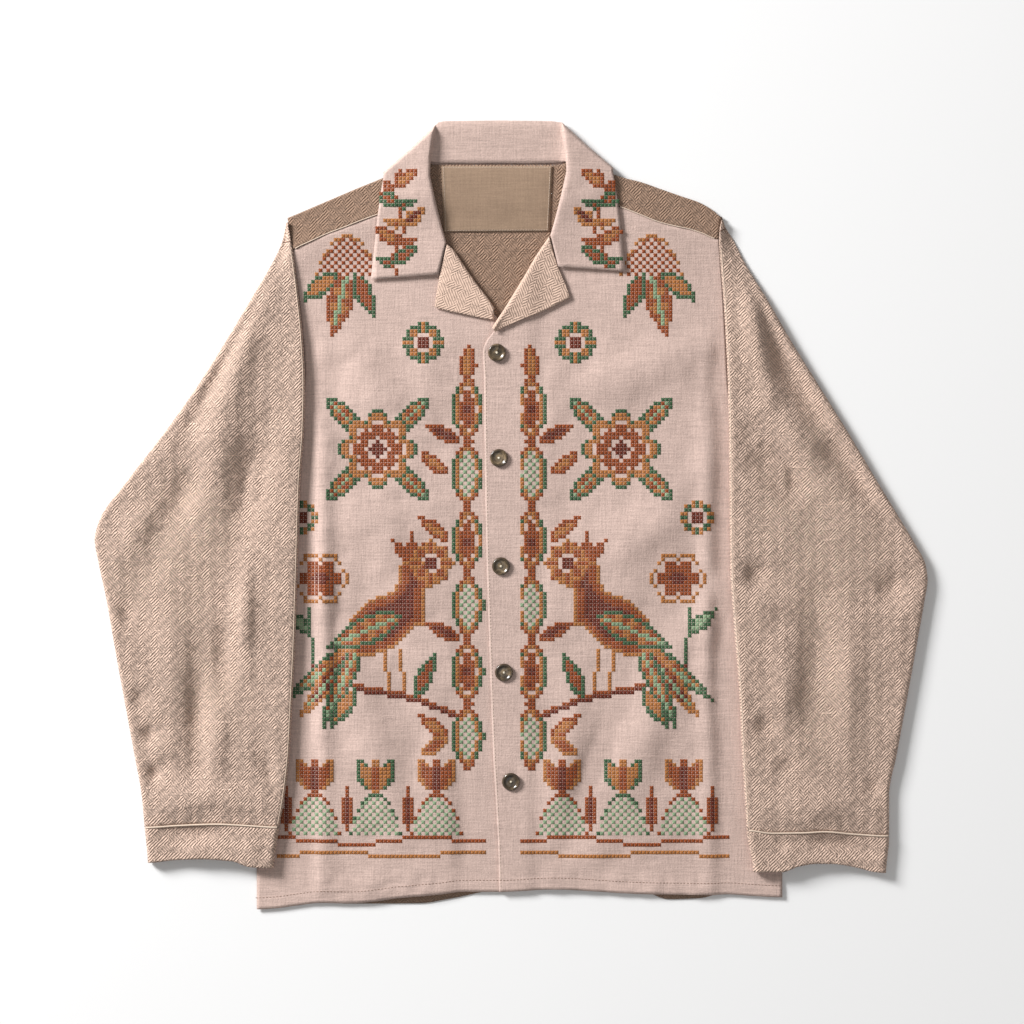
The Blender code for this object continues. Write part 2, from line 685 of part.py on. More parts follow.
def make_lapel(name, table, towards, layer, collection):
    """The front's facing, turned out over it along the roll line."""
    crests = [row[:2] for row in table]
    leaf = leaf_on(layer, 1.0, LAPEL_LIFT)
    rows = []
    for index, (crest_x, crest_y, out_x, out_y) in enumerate(table):
        crest, outer = Vector((crest_x, crest_y)), Vector((out_x, out_y))
        normal = roll_normal(crests, index, Vector(towards))
        seam = behind_roll(crest, normal, LAPEL_LIFT)
        bow = normal * LAPEL_BOW * (outer - crest).length
        middle = crest.lerp(outer, 0.5) + bow * (1 - abs(2 * index / (len(table) - 1) - 1))
        base = layer(*seam)
        rows.append(rolled_profile(crest, middle, outer, seam, (base, base), leaf))
    return sheet(name, rows, BODY_WALL, "cotton", collection)


def make_label(collection):
    top_right, top_left, low_left, low_right = (Vector(corner) for corner in LABEL_CORNERS)
    rows = []
    for up in shares((1.0, 7)):
        row = []
        for along in shares((1.0, 5)):
            spot = low_right.lerp(low_left, along).lerp(top_right.lerp(top_left, along), up)
            height = back_middle(*spot) + (BODY_WALL + LABEL_WALL) / 2 + LAYER_GAP
            row.append((spot.x, spot.y, height))
        rows.append(row)
    return sheet("neck_label", rows, LABEL_WALL, "label", collection)


def make_buttons(collection):
    mesh = bpy.data.meshes.new("button")
    bm = bmesh.new()
    corners = [bm.verts.new((radius * MM, 0.0, height * MM)) for radius, height in BUTTON_PROFILE]
    for a, b in zip(corners, corners[1:]):
        bm.edges.new((a, b))
    bm.to_mesh(mesh)
    bm.free()
    mesh.materials.append(finish_material("horn"))
    for number, (across, down) in enumerate(BUTTON_PLACES, start=1):
        obj = bpy.data.objects.new(f"button_{number}", mesh)
        collection.objects.link(obj)
        seat = over_front_middle(across, down) + BODY_WALL / 2 + SEAM_GAP
        obj.location = ((across - TABLE_ACROSS) * MM, (TABLE_DOWN - down) * MM, seat * MM)
        turned = obj.modifiers.new("turned", "SCREW")
        turned.steps = BUTTON_STEPS
        turned.render_steps = BUTTON_STEPS
        turned.use_merge_vertices = True
        turned.merge_threshold = 0.0001
        turned.use_smooth_shade = True


def main():
    clear_scene()
    collection = bpy.data.collections.new("camp_collar_shirt")
    bpy.context.scene.collection.children.link(collection)
    make_back(collection)
    make_fronts(collection)
    make_sleeve("sleeve_right", -1, RIGHT_SLEEVE, RIGHT_PIPING, collection)
    make_sleeve("sleeve_left", 1, LEFT_SLEEVE, LEFT_PIPING, collection)
    make_cuff("cuff_right", -1, RIGHT_SLEEVE, RIGHT_PIPING, RIGHT_MOUTH, collection)
    make_cuff("cuff_left", 1, LEFT_SLEEVE, LEFT_PIPING, LEFT_MOUTH, collection)
    make_collar(collection)
    make_lapel("lapel_right", RIGHT_LAPEL, (-1.0, 0.3), front_middle, collection)
    make_lapel("lapel_left", LEFT_LAPEL, (1.0, 0.3), over_front_middle, collection)
    make_label(collection)
    make_buttons(collection)


if __name__ == "__main__":
    main()
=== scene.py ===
"""Dresses a camp collar shirt that lies flat: cloth, seams, cross-stitch, buttons and stage.

Plan positions are millimetres on the cutting table: across runs towards the wearer's left
sleeve, down runs towards the hem. Heights are millimetres above the table.
"""

import json
import math

import bmesh
import bpy
from bpy.props import FloatProperty, FloatVectorProperty, IntProperty, PointerProperty
from bpy.types import Operator, Panel, PropertyGroup
from mathutils import Matrix, Vector, noise
from mathutils.bvhtree import BVHTree

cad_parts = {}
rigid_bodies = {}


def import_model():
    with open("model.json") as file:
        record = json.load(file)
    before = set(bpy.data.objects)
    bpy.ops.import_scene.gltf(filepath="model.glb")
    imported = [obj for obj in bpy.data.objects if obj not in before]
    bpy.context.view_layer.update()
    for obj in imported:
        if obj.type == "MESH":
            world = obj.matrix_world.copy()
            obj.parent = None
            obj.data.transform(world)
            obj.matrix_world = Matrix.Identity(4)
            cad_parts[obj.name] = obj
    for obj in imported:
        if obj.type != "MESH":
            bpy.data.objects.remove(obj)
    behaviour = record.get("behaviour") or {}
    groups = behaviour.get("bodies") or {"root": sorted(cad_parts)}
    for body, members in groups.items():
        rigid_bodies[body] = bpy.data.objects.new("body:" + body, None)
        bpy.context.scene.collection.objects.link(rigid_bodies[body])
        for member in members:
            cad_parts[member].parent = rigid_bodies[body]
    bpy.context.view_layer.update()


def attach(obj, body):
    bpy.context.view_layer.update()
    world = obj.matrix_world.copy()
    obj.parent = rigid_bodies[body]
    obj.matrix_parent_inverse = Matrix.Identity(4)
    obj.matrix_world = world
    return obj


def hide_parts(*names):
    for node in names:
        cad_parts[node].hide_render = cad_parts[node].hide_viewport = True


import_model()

bl_info = {
    "name": "Laid-out camp collar shirt",
    "version": (1, 0, 0),
    "blender": (4, 5, 0),
    "location": "View3D > Sidebar > Shirt",
    "description": "Cloth, seams, cross-stitch and buttons of a shirt laid flat",
    "category": "Object",
}

MM = 0.001
BODY = "root"
TABLE_ACROSS, TABLE_DOWN = 511.26, 514.8
NECK_CENTRE = 498.3

# Heights of the layers' middles and the steps between them, as in the solids
LAYER_GAP = 0.4
BACK_MIDDLE = 0.6
BODY_STEP = 1.6
SHOULDER_FOLD = 1.5
STAND_HEIGHT = 4.6
SEAM_RISE = 1.6

# A sleeve: where it begins, widens and turns from a flap on the body into a tube, how far it
# stands off the front, and the lip and slope by which its underside comes down to the table
SLEEVE_TOP, SLEEVE_WIDENS, UNDERARM_DOWN = 222, 236, 463.0
SLEEVE_OFF_FRONT = 0.6
EDGE_LIP, SLOPE_RUN, SLOPE_FOOT = 0.8, 12.5, 13.5

# Where the fronts' folds fade out: at the sleeves, beside the placket, at the neck and the hem
FOLDS_FROM_SIDES = (308, 724)
FOLDS_TO_PLACKET = (470, 530)
FOLDS_FROM_ENDS = (322, 918)

# The hem's small waves, the dip round a button, and where the left front laps over the right
HEM_WAVES_DOWN, HEM_WAVES_FROM, HEM_WAVES_TO = 868, 285, 742
HEM_FOLD, HEM_FOLD_RISE = 13, 0.35
PUCKER_REACH, PUCKER_WIDTH, PUCKER_DEPTH = 34, 15, 0.4
PUCKERED_STRIP = (460, 545)
LAP_EDGE, LAP_SLOPE, LAP_RISE = 524, 22, BODY_STEP + 0.5

# Topstitching: distance from the edge and step, and where the placket's run starts and stops
HEM_STITCH_IN, PLACKET_STITCH_IN, LABEL_STITCH_IN = 11.5, 1.9, 2.6
STITCH_STEP, LABEL_STITCH_STEP = 3.4, 2.6
PLACKET_RUN = (352, 888)
STITCH_WIDTH, STITCH_HEIGHT = 0.7, 0.35

# Lengths that set the number of mesh cells in the body's panels, and the rings of the sleeves
SHOULDER_WIDTH, NECK_WIDTH = 136, 148
FRONT_LENGTH, UNDER_FRONT_WIDTH, LAP_WIDTH, OVER_FRONT_WIDTH = 700, 264, 60, 240
TUBE_RINGS, ARMHOLE_RINGS, CUFF_RINGS, RING_STEPS = 104, 68, 16, 54
HEM_NEAR, SHOULDER_NEAR = 900, 240

# Side and armhole edges of the body: down, across
BODY_RIGHT_EDGE = (
    (219, 288.0), (232, 290.0), (243, 291.8), (262, 294.6), (300, 299.3), (340, 303.3),
    (372, 305.3), (395, 302.5), (418, 292.0), (438, 276.0), (454, 259.0), (475, 257.0),
    (910, 257.0),
)
BODY_LEFT_EDGE = (
    (219, 722.0), (230, 719.5), (237, 718.3), (256, 719.9), (300, 723.3), (340, 725.6),
    (372, 727.3), (395, 729.5), (418, 741.0), (438, 759.0), (454, 779.5), (475, 782.0),
    (910, 782.0),
)

# Shoulder fold, and the seam where the back's shoulder meets the fronts: across, down
SHOULDER_LINE = (
    (284, 221.5), (288, 220.0), (320, 206.5), (340, 198.0), (360, 189.5), (384, 180.0),
    (424, 164.0), (436, 165.0), (560, 165.0), (572, 160.5), (612, 176.3), (622, 179.6),
    (640, 184.0), (660, 191.0), (680, 198.0), (700, 205.0), (712, 212.0), (722, 219.5),
)
FORWARD_SEAM = (
    (291, 250.5), (301, 246.0), (311, 241.5), (326, 234.5), (345, 227.3), (360, 221.3),
    (377, 215.0), (430, 196.0), (569, 189.6), (595, 199.0), (622, 208.0), (640, 215.0),
    (659, 222.5), (674, 226.3), (689, 229.5), (701, 233.3), (718, 239.5),
)
NECK_CORNERS = (424.0, 572.5)
SHOULDER_POINTS = (288, 722)

# Hems of the fronts and of the back: across, down
FRONT_HEM = (
    (257, 909.0), (276, 908.0), (298, 905.0), (321, 902.5), (350, 903.0), (374, 901.0),
    (400, 897.5), (440, 894.0), (463, 891.5), (499, 891.5), (521, 890.5), (551, 889.0),
    (640, 893.5), (710, 894.6), (727, 894.0), (752, 895.6), (782, 897.0),
)
BACK_HEM = (
    (257, 905.0), (320, 900.5), (345, 903.5), (420, 903.0), (450, 898.5), (495, 890.0),
    (560, 886.0), (640, 890.0), (668, 899.0), (700, 898.0), (730, 891.0), (782, 894.0),
)

# Roll line and front edge of each front: down, across
UNDER_FRONT_EDGE = (
    (196, 430.2), (215, 434.6), (231, 438.4), (245, 443.0), (263, 457.0), (281, 469.0),
    (299, 483.2), (309, 489.6), (320, 499.0), (335, 508.0), (350, 514.0), (370, 518.5),
    (400, 520.0), (891, 521.0),
)
OVER_FRONT_EDGE = (
    (190, 569.4), (206, 564.3), (221, 560.0), (236, 555.2), (240, 552.6), (247, 546.4),
    (266, 535.6), (283, 525.6), (299, 515.6), (317, 504.6), (326, 498.2), (335, 491.0),
    (343, 485.4), (352, 482.8), (381, 484.0), (440, 484.5), (540, 486.0), (640, 489.0),
    (748, 492.8), (801, 495.8), (860, 498.5), (892, 499.0),
)

# Where the collar's fall lies under the back and lifts it: across, lowest point down
FALL_REACH = (
    (340, 138.0), (368, 156.0), (382, 181.0), (412, 199.0), (455, 201.0), (541, 200.0),
    (584, 196.0), (614, 176.0), (628, 152.0), (656, 134.0),
)

# Sleeves: down, across at the armhole or inner fold, across at the outer fold
RIGHT_SLEEVE = (
    (223, 288.4, 286.0), (232, 289.6, 284.6), (243, 291.4, 281.8), (262, 294.3, 273.0), (300, 299.0, 251.0),
    (340, 303.0, 227.0), (386, 305.2, 198.0), (430, 304.2, 167.0), (482, 300.4, 127.0),
    (520, 299.0, 100.0), (540, 298.5, 95.0), (560, 298.0, 98.5), (600, 296.7, 107.0),
    (640, 295.5, 114.0), (690, 293.0, 123.0), (755, 289.5, 135.0), (794, 285.0, 142.0),
    (826, 279.5, 145.0), (868, 273.5, 148.5),
)
LEFT_SLEEVE = (
    (221, 721.4, 723.4), (228, 719.8, 725.6), (240, 719.0, 733.0), (262, 720.4, 744.0), (300, 723.5, 767.0),
    (340, 725.8, 790.0), (386, 727.8, 818.5), (430, 728.8, 846.0), (482, 729.3, 877.0),
    (520, 729.6, 900.0), (545, 729.9, 915.0), (565, 730.1, 925.0), (580, 730.6, 927.0),
    (600, 732.0, 924.0), (640, 735.0, 917.0), (690, 739.0, 908.0), (755, 742.0, 896.0),
    (794, 744.5, 888.5), (832, 746.8, 888.5), (872, 753.5, 885.5),
)
RIGHT_PIPING = ((145, 826.5), (181, 824.5), (220, 823.0), (242, 824.0), (279, 826.0))
RIGHT_MOUTH = ((148, 862.0), (178, 859.0), (201, 858.0), (232, 860.0), (252, 866.0), (274, 867.0))
LEFT_PIPING = ((746, 829.0), (771, 832.0), (801, 831.6), (824, 830.6), (852, 833.0), (889, 835.0))
LEFT_MOUTH = (
    (753, 871.0), (781, 871.0), (797, 865.6), (815, 862.7), (832, 863.0), (857, 867.0),
    (873, 871.0), (886, 872.0),
)

# Folds: across and down of both ends, half width, height (troughs are negative)
FRONT_FOLDS = (
    (338, 352, 420, 430, 20, 1.6), (345, 470, 440, 640, 24, 1.4), (330, 600, 400, 840, 22, 1.8),
    (420, 660, 452, 860, 16, 1.3), (560, 400, 700, 345, 22, 1.5), (570, 600, 700, 480, 26, 1.8),
    (600, 850, 690, 640, 24, 1.6), (560, 860, 575, 660, 16, 1.3),
    (324, 330, 325, 880, 9, 1.5), (342, 590, 338, 700, 8, -1.4), (705, 330, 708, 880, 9, 1.5),
    (470, 560, 476, 860, 9, 1.0), (640, 640, 560, 860, 14, -1.2), (690, 560, 716, 600, 12, -1.6),
)
RIGHT_SLEEVE_FOLDS = (
    (262, 300, 206, 440, 17, 3.0), (240, 316, 190, 420, 15, -3.4), (218, 340, 150, 470, 12, 1.6),
    (266, 425, 236, 548, 18, -3.4), (236, 400, 200, 500, 20, 3.0), (206, 462, 162, 528, 18, -3.2),
    (165, 500, 118, 560, 16, 1.8), (112, 610, 140, 620, 14, -2.0), (124, 706, 146, 692, 9, -2.4),
    (134, 741, 160, 728, 9, -2.4), (140, 782, 165, 766, 9, -2.8), (246, 555, 246, 672, 9, 2.2),
    (222, 690, 214, 792, 12, 1.8), (200, 650, 196, 768, 12, -2.8), (226, 596, 222, 712, 10, -1.8),
    (172, 560, 178, 740, 18, 1.8), (150, 800, 272, 801, 17, 2.6), (262, 744, 276, 790, 9, -1.8),
)
LEFT_SLEEVE_FOLDS = (
    (742, 262, 770, 405, 12, 3.0), (754, 292, 838, 458, 18, -3.3), (770, 400, 832, 484, 16, 3.2),
    (744, 438, 814, 508, 18, -3.6), (838, 452, 888, 512, 14, -3.0), (846, 426, 906, 530, 10, 1.8),
    (738, 570, 772, 583, 13, -2.6), (744, 600, 786, 610, 13, 1.3), (908, 580, 872, 596, 15, -2.3),
    (752, 712, 778, 740, 13, -2.5), (774, 754, 796, 774, 12, -1.2), (762, 804, 882, 808, 17, 2.6),
    (820, 596, 812, 726, 16, -2.2), (852, 616, 846, 762, 14, 1.8), (782, 640, 786, 740, 14, 1.6),
    (868, 790, 886, 782, 8, -2.0),
)
CUFF_FOLDS = (
    (160, 836, 240, 837, 8, -2.6), (178, 853, 214, 856, 7, 1.2), (246, 836, 262, 858, 8, 1.4),
    (768, 842, 790, 844, 8, -1.6), (800, 843, 870, 846, 9, -2.8), (788, 838, 792, 862, 7, 1.4),
)

# The right half of the collar from the gorge to the centre back, about the neck's centre.
# Columns: across and down of the crest, of the fall's middle and outer edge and of the neck
# seam, then the fall's side of the body: 1 over the fronts, -1 under the back
COLLAR_STATIONS = (
    (-52.3, 243.0, -59.8, 275.0, -127.3, 280.0, None, None, 1.0),
    (-56.5, 228.0, -71.0, 254.0, -125.3, 262.0, None, None, 1.0),
    (-60.5, 212.0, -82.0, 230.0, -123.3, 243.0, None, None, 1.0),
    (-64.5, 195.0, -88.0, 208.0, -121.0, 222.0, None, None, 1.0),
    (-68.3, 177.0, -91.0, 188.0, -118.5, 203.0, -71.5, 180.0, 1.0),
    (-68.0, 158.0, -90.0, 172.0, -116.3, 188.0, -67.6, 161.8, 1.0),
    (-65.5, 141.0, -88.0, 158.5, -114.6, 179.0, -61.0, 162.6, 1.0),
    (-64.3, 131.5, -87.3, 152.6, -114.4, 175.6, -57.0, 163.2, 0.8),
    (-63.3, 126.4, -87.0, 149.0, -114.6, 173.2, -52.3, 163.4, 0.0),
    (-59.8, 122.8, -84.5, 151.5, -112.2, 175.6, -47.3, 163.5, -1.0),
    (-53.0, 121.8, -74.0, 157.0, -98.0, 187.0, -40.0, 163.6, -1.0),
    (-38.0, 121.6, -48.0, 157.0, -62.0, 193.0, -28.0, 163.7, -1.0),
    (-18.0, 121.4, -23.0, 157.0, -29.0, 194.0, -14.0, 163.7, -1.0),
    (0.0, 121.2, 0.0, 157.0, 0.0, 194.0, 0.0, 163.7, -1.0),
)

# The left half's leaf lies nearer the neck by this, and by this share of its way down from the crest
LEFT_LEAF_RAISE, LEFT_LEAF_GROWTH, CREST_DOWN = 3.0, 0.033, 125

# Above this the collar's stand rises from the fronts to its full height behind the neck
BACK_NECK_DOWN, BACK_NECK_SLOPE = 180, 40

# How a leaf's height falls from its crest to its outer edge: share of the way, share of the lift
LEAF_SLOPE = ((0.0, 1.0), (0.2, 0.88), (0.55, 0.62), (0.85, 0.44), (1.0, 0.36))

# Lapels from the gorge to the foot of the roll: crest and outer edge, across and down
RIGHT_LAPEL = (
    (447.0, 244.6, 440.0, 276.4), (454.0, 251.0, 437.0, 291.0), (461.5, 262.5, 434.6, 307.6),
    (468.0, 272.5, 447.0, 311.0), (474.5, 281.8, 460.0, 313.8), (481.0, 290.2, 472.0, 316.3),
    (488.0, 299.2, 484.0, 318.7), (494.0, 308.2, 494.0, 320.0),
)
LEFT_LAPEL = (
    (549.2, 237.2, 557.4, 268.6), (542.5, 247.0, 564.7, 283.0), (535.0, 258.5, 570.0, 298.0),
    (527.0, 272.8, 553.0, 306.8), (519.0, 286.2, 538.0, 313.8), (511.5, 298.4, 524.0, 319.0),
    (504.5, 309.8, 511.0, 324.6), (498.0, 319.4, 501.0, 329.0), (492.5, 328.0, 495.0, 332.4),
)
LABEL_CORNERS = ((441.5, 166.6), (552.5, 166.6), (549.5, 231.5), (443.5, 232.0))
BUTTON_PLACES = ((497.0, 353.0), (499.0, 458.0), (501.0, 566.0), (504.0, 672.0), (511.0, 781.0))

# A turned button: radius and height from the middle of its dish over the rim to its foot
BUTTON_PROFILE = (
    (0.0, 2.5), (0.7, 2.45), (1.15, 2.1), (2.4, 1.7), (4.6, 1.6), (5.6, 1.9), (6.4, 2.7),
    (7.1, 3.25), (7.8, 3.4), (8.5, 3.1), (8.9, 2.4), (9.0, 1.7), (8.8, 0.9), (8.0, 0.35),
    (6.4, 0.1), (0.0, 0.0),
)
# The small knob in each button's middle wears pale horn: a painted highlight
BUTTON_RADIUS, BUTTON_DISH, BUTTON_HIGHLIGHT_REACH, BUTTON_UNDER = 0.009, 6.0, 1.0, 1.5
BUTTON_SEAT = 0.9

# The cross-stitch chart's middle and first row, and the overlap that hides the under front
CHART_MIDDLE, CHART_TOP = NECK_CENTRE + 1.0, 244.0
UNDER_FRONT_HIDDEN, OVER_EDGE_MARGIN, STEEPEST_STITCH = 521, 3, 0.7
STITCH_SHADE, STITCH_TURN, STITCH_SEED = 0.22, 0.10, 7
TWINE_MIDDLE, TWINE_LOOP, TWINE_REACH = 8.4, 17.3, 4.0


def ease(t):
    """A soft step from 0 to 1."""
    t = min(max(t, 0.0), 1.0)
    return t * t * (3 - 2 * t)


def mix(a, b, t):
    return a + (b - a) * t


def through(points, value_column=1):
    """A smooth function through the table's points, level past both ends."""
    ats = [row[0] for row in points]
    values = [row[value_column] for row in points]
    secants = [(values[i + 1] - values[i]) / (ats[i + 1] - ats[i]) for i in range(len(ats) - 1)]
    slopes = [0.0] * len(ats)
    for i in range(1, len(ats) - 1):
        before, after = secants[i - 1], secants[i]
        if before * after > 0:
            slopes[i] = 2 * before * after / (before + after)

    def value(at):
        if at <= ats[0]:
            return values[0]
        if at >= ats[-1]:
            return values[-1]
        i = max(k for k in range(len(ats) - 1) if ats[k] <= at)
        span = ats[i + 1] - ats[i]
        t = (at - ats[i]) / span
        keep, lead = 1 - t * t * (3 - 2 * t), t * (1 - t) ** 2 * span
        trail = t * t * (t - 1) * span
        return values[i] * keep + values[i + 1] * (1 - keep) + slopes[i] * lead + slopes[i + 1] * trail

    return value


def shares(*stretches):
    """Shares from 0 to 1: each stretch is (end share, steps)."""
    found, start = [0.0], 0.0
    for end, steps in stretches:
        found += [mix(start, end, (i + 1) / steps) for i in range(steps)]
        start = end
    return found


def fold_height(folds, across, down):
    total = 0.0
    for x0, y0, x1, y1, half_width, height in folds:
        if abs(across - (x0 + x1) / 2) > abs(x1 - x0) / 2 + 3 * half_width:
            continue
        run = (x1 - x0) ** 2 + (y1 - y0) ** 2
        t = ((across - x0) * (x1 - x0) + (down - y0) * (y1 - y0)) / run
        t = min(max(t, 0.0), 1.0)
        gap = math.hypot(across - mix(x0, x1, t), down - mix(y0, y1, t))
        fade = math.sin(math.pi * min(max(t, 0.12), 0.88))
        total += height * fade * math.exp(-((gap / half_width) ** 2))
    return total


def rumple(across, down, size, seed):
    """Soft unevenness from -1 to 1, with bumps about this size."""
    return noise.noise(Vector((across / size, down / size, seed))) * 1.6


body_right_edge = through(BODY_RIGHT_EDGE)
body_left_edge = through(BODY_LEFT_EDGE)
shoulder_line = through(SHOULDER_LINE)
forward_seam = through(FORWARD_SEAM)
front_hem = through(FRONT_HEM)
back_hem = through(BACK_HEM)
under_front_edge = through(UNDER_FRONT_EDGE)
over_front_edge = through(OVER_FRONT_EDGE)
fall_reach = through(FALL_REACH)


def back_middle(across, down):
    raised = 1 - ease((down - fall_reach(across)) / 24)
    return BACK_MIDDLE + BODY_STEP * raised


def shoulder_middle(across, down):
    """The strip slopes up from the shoulder fold to its seam with the front."""
    share = (down - shoulder_line(across)) / (forward_seam(across) - shoulder_line(across))
    soft = ease(share) * (SEAM_RISE + 0.5 + 0.4 * rumple(across, down, 16, 3.0))
    return back_middle(across, down) + 2 * SHOULDER_FOLD + soft


def button_pucker(across, down):
    """The placket dips under each button, with small creases around it."""
    total = 0.0
    for button_across, button_down in BUTTON_PLACES:
        x, y = across - button_across, down - button_down
        gap = math.hypot(x, y)
        if gap < PUCKER_REACH:
            creases = ease(gap / 8) * math.sin(3 * math.atan2(y, x) + button_down)
            total += math.exp(-((gap / PUCKER_WIDTH) ** 2)) * PUCKER_DEPTH * (creases - 1)
    return total


def front_middle(across, down):
    seam_lift = 1 - ease((down - forward_seam(across)) / 45)
    right, left = FOLDS_FROM_SIDES
    sides = ease((across - right) / 14) * ease((left - across) / 14)
    right, left = FOLDS_TO_PLACKET
    placket = max(ease((right - across) / 22) + ease((across - left) / 22), 0.12)
    top, low = FOLDS_FROM_ENDS
    ends = ease((down - top) / 30) * ease((low - down) / 30)
    window = sides * placket * ends
    folds = 2.4 * fold_height(FRONT_FOLDS, across, down)
    folds += 1.1 + 1.5 * rumple(across, down, 50, 1.0) + 0.5 * rumple(across, down, 20, 2.0)
    folds += 0.16 * rumple(across, down, 7, 12.0)
    hem = ease((across - HEM_WAVES_FROM) / 20) * ease((HEM_WAVES_TO - across) / 20)
    hem *= ease((down - HEM_WAVES_DOWN) / 16)
    folds += hem * (0.5 + 0.7 * rumple(across, down * 2.2, 13, 5.0))
    folds = 0.2 + 0.5 * (folds - 0.2 + math.hypot(folds - 0.2, 0.4))
    band = HEM_FOLD_RISE * ease((down - front_hem(across) + HEM_FOLD) / 1.5)
    step = mix(BODY_STEP, 2 * SHOULDER_FOLD + SEAM_RISE, seam_lift)
    first, last = PUCKERED_STRIP
    pucker = button_pucker(across, down) if first < across < last else 0.0
    return back_middle(across, down) + step + window * folds + band + pucker


def over_front_middle(across, down):
    lap = 1 - ease((across - LAP_EDGE) / LAP_SLOPE)
    return front_middle(across, down) + LAP_RISE * lap


def top_layer_middle(across, down):
    if down < forward_seam(across):
        return shoulder_middle(across, down)
    return front_middle(across, down)


def place(across, down, height):
    """A point of the plan in the frame, in metres."""
    return ((across - TABLE_ACROSS) * MM, (TABLE_DOWN - down) * MM, height * MM)


def length_setting(name, description, default):
    return FloatProperty(name=name, description=description, default=default, unit="LENGTH")


def colour_setting(name, description, default):
    return FloatVectorProperty(
        name=name, description=description, default=default, subtype="COLOR", size=3, min=0, max=1
    )


class ShirtCloth(PropertyGroup):
    wall: length_setting("Cloth", "Thickness of one layer", 0.0009)
    cell: length_setting("Cell", "Side of a panel's mesh cell", 0.0034)
    sleeve_puff: length_setting("Sleeve puff", "Height between a sleeve's layers", 0.0082)
    collar_lift: length_setting("Collar lift", "How far the collar's roll stands proud", 0.0042)
    linen: colour_setting("Linen", "Colour of the fronts and collar", (0.578, 0.430, 0.376))
    cotton: colour_setting("Cotton", "Colour of the sleeves and cuffs", (0.600, 0.435, 0.348))
    # The back's colour is the sleeves' cotton made much darker: painted shade on the shoulder strips and
    # inside the neck
    cotton_back: colour_setting(
        "Back cotton", "Colour of the back and shoulder strips, a shade deeper", (0.318, 0.206, 0.146)
    )
    cotton_facing: colour_setting(
        "Facing cotton", "Colour of the turned-out lapels", (0.640, 0.460, 0.365)
    )
    # This colour is real piping on the cuffs and painted highlight on the sleeves' inner folds and the
    # forward seams' lips
    piping: colour_setting("Piping", "Colour of the piped seams", (0.700, 0.560, 0.450))
    label: colour_setting("Label", "Colour of the bare neck label", (0.325, 0.225, 0.156))


class ShirtStitching(PropertyGroup):
    pitch: length_setting("Cross pitch", "Distance between cross-stitches", 0.0038)
    strand: length_setting("Strand", "Width of an embroidery strand", 0.0026)
    seam_stitch: length_setting("Seam stitch", "Length of a topstitch", 0.0022)
    rust: colour_setting("Rust thread", "Main thread", (0.250, 0.052, 0.008))
    tan: colour_setting("Tan thread", "Lighter outline thread", (0.370, 0.140, 0.034))
    maroon: colour_setting("Maroon thread", "Darkest thread", (0.125, 0.018, 0.005))
    green: colour_setting("Green thread", "Leaf thread", (0.040, 0.098, 0.042))
    pale: colour_setting("Pale green thread", "Lattice thread", (0.215, 0.310, 0.180))
    seam: colour_setting("Sewing thread", "Hem stitching and sleeve heads", (0.190, 0.105, 0.070))
    seam_pale: colour_setting(
        "Matched thread", "Placket and label stitching", (0.560, 0.440, 0.350)
    )


class ShirtButtons(PropertyGroup):
    radius: length_setting("Radius", "Radius of a button", 0.009)
    segments: IntProperty(name="Segments", description="Steps round a button", default=48, min=16)
    horn: colour_setting("Horn", "Dark ground of the horn", (0.045, 0.028, 0.015))


class ShirtStage(PropertyGroup):
    view_width: length_setting("View width", "Width of table that the picture shows", 1.024)
    camera_height: length_setting("Camera height", "Height of the camera over the table", 3.2)
    key_light: FloatProperty(name="Key light", description="Power of the key light", default=430.0)


# Shader building


class Nodes:
    """Adds nodes to a tree, left to right."""

    def __init__(self, tree):
        self.tree = tree
        self.column = 0

    def add(self, kind, props=None, **sockets):
        node = self.tree.nodes.new(kind)
        node.location = (self.column * 190, -160 * (self.column % 3))
        self.column += 1
        for name, value in (props or {}).items():
            setattr(node, name, value)
        for name, value in sockets.items():
            self.feed(node, name.replace("_", " "), value)
        return node

    def feed(self, node, name, value):
        """Sets a node's input, by name or number, or links it to another node's output."""
        socket = node.inputs[name]
        if isinstance(value, bpy.types.NodeSocket):
            self.tree.links.new(value, socket)
        else:
            socket.default_value = value

    def math(self, operation, a, b=0.0):
        node = self.add("ShaderNodeMath", {"operation": operation})
        self.feed(node, 0, a)
        self.feed(node, 1, b)
        return node.outputs[0]

    def plus(self, a, b):
        return self.math("ADD", a, b)

    def minus(self, a, b):
        return self.math("SUBTRACT", a, b)

    def times(self, a, b):
        return self.math("MULTIPLY", a, b)

    def stretched(self, vector, scale):
        node = self.add("ShaderNodeVectorMath", {"operation": "MULTIPLY"})
        self.feed(node, 0, vector)
        self.feed(node, 1, scale)
        return node.outputs[0]

    def toned(self, colour, factor):
        """A colour made lighter or darker by another node's value."""
        node = self.add("ShaderNodeVectorMath", {"operation": "SCALE"})
        self.feed(node, 0, colour)
        self.feed(node, "Scale", factor)
        return node.outputs[0]

    def noise(self, vector, scale, detail=2.0):
        node = self.add("ShaderNodeTexNoise", Vector=vector, Scale=scale, Detail=detail)
        return node.outputs["Fac"]

    def between(self, value, low, high, to_low=0.0, to_high=1.0):
        limits = {"From_Min": low, "From_Max": high, "To_Min": to_low, "To_Max": to_high}
        return self.add("ShaderNodeMapRange", Value=value, **limits).outputs[0]

    def bump(self, height, distance, strength):
        node = self.add("ShaderNodeBump", Height=height, Distance=distance, Strength=strength)
        return node.outputs[0]

    def group(self, name, build, **sockets):
        """A shared shader group, built on its first use."""
        tree = bpy.data.node_groups.get(name) or build(name)
        return self.add("ShaderNodeGroup", {"node_tree": tree}, **sockets)


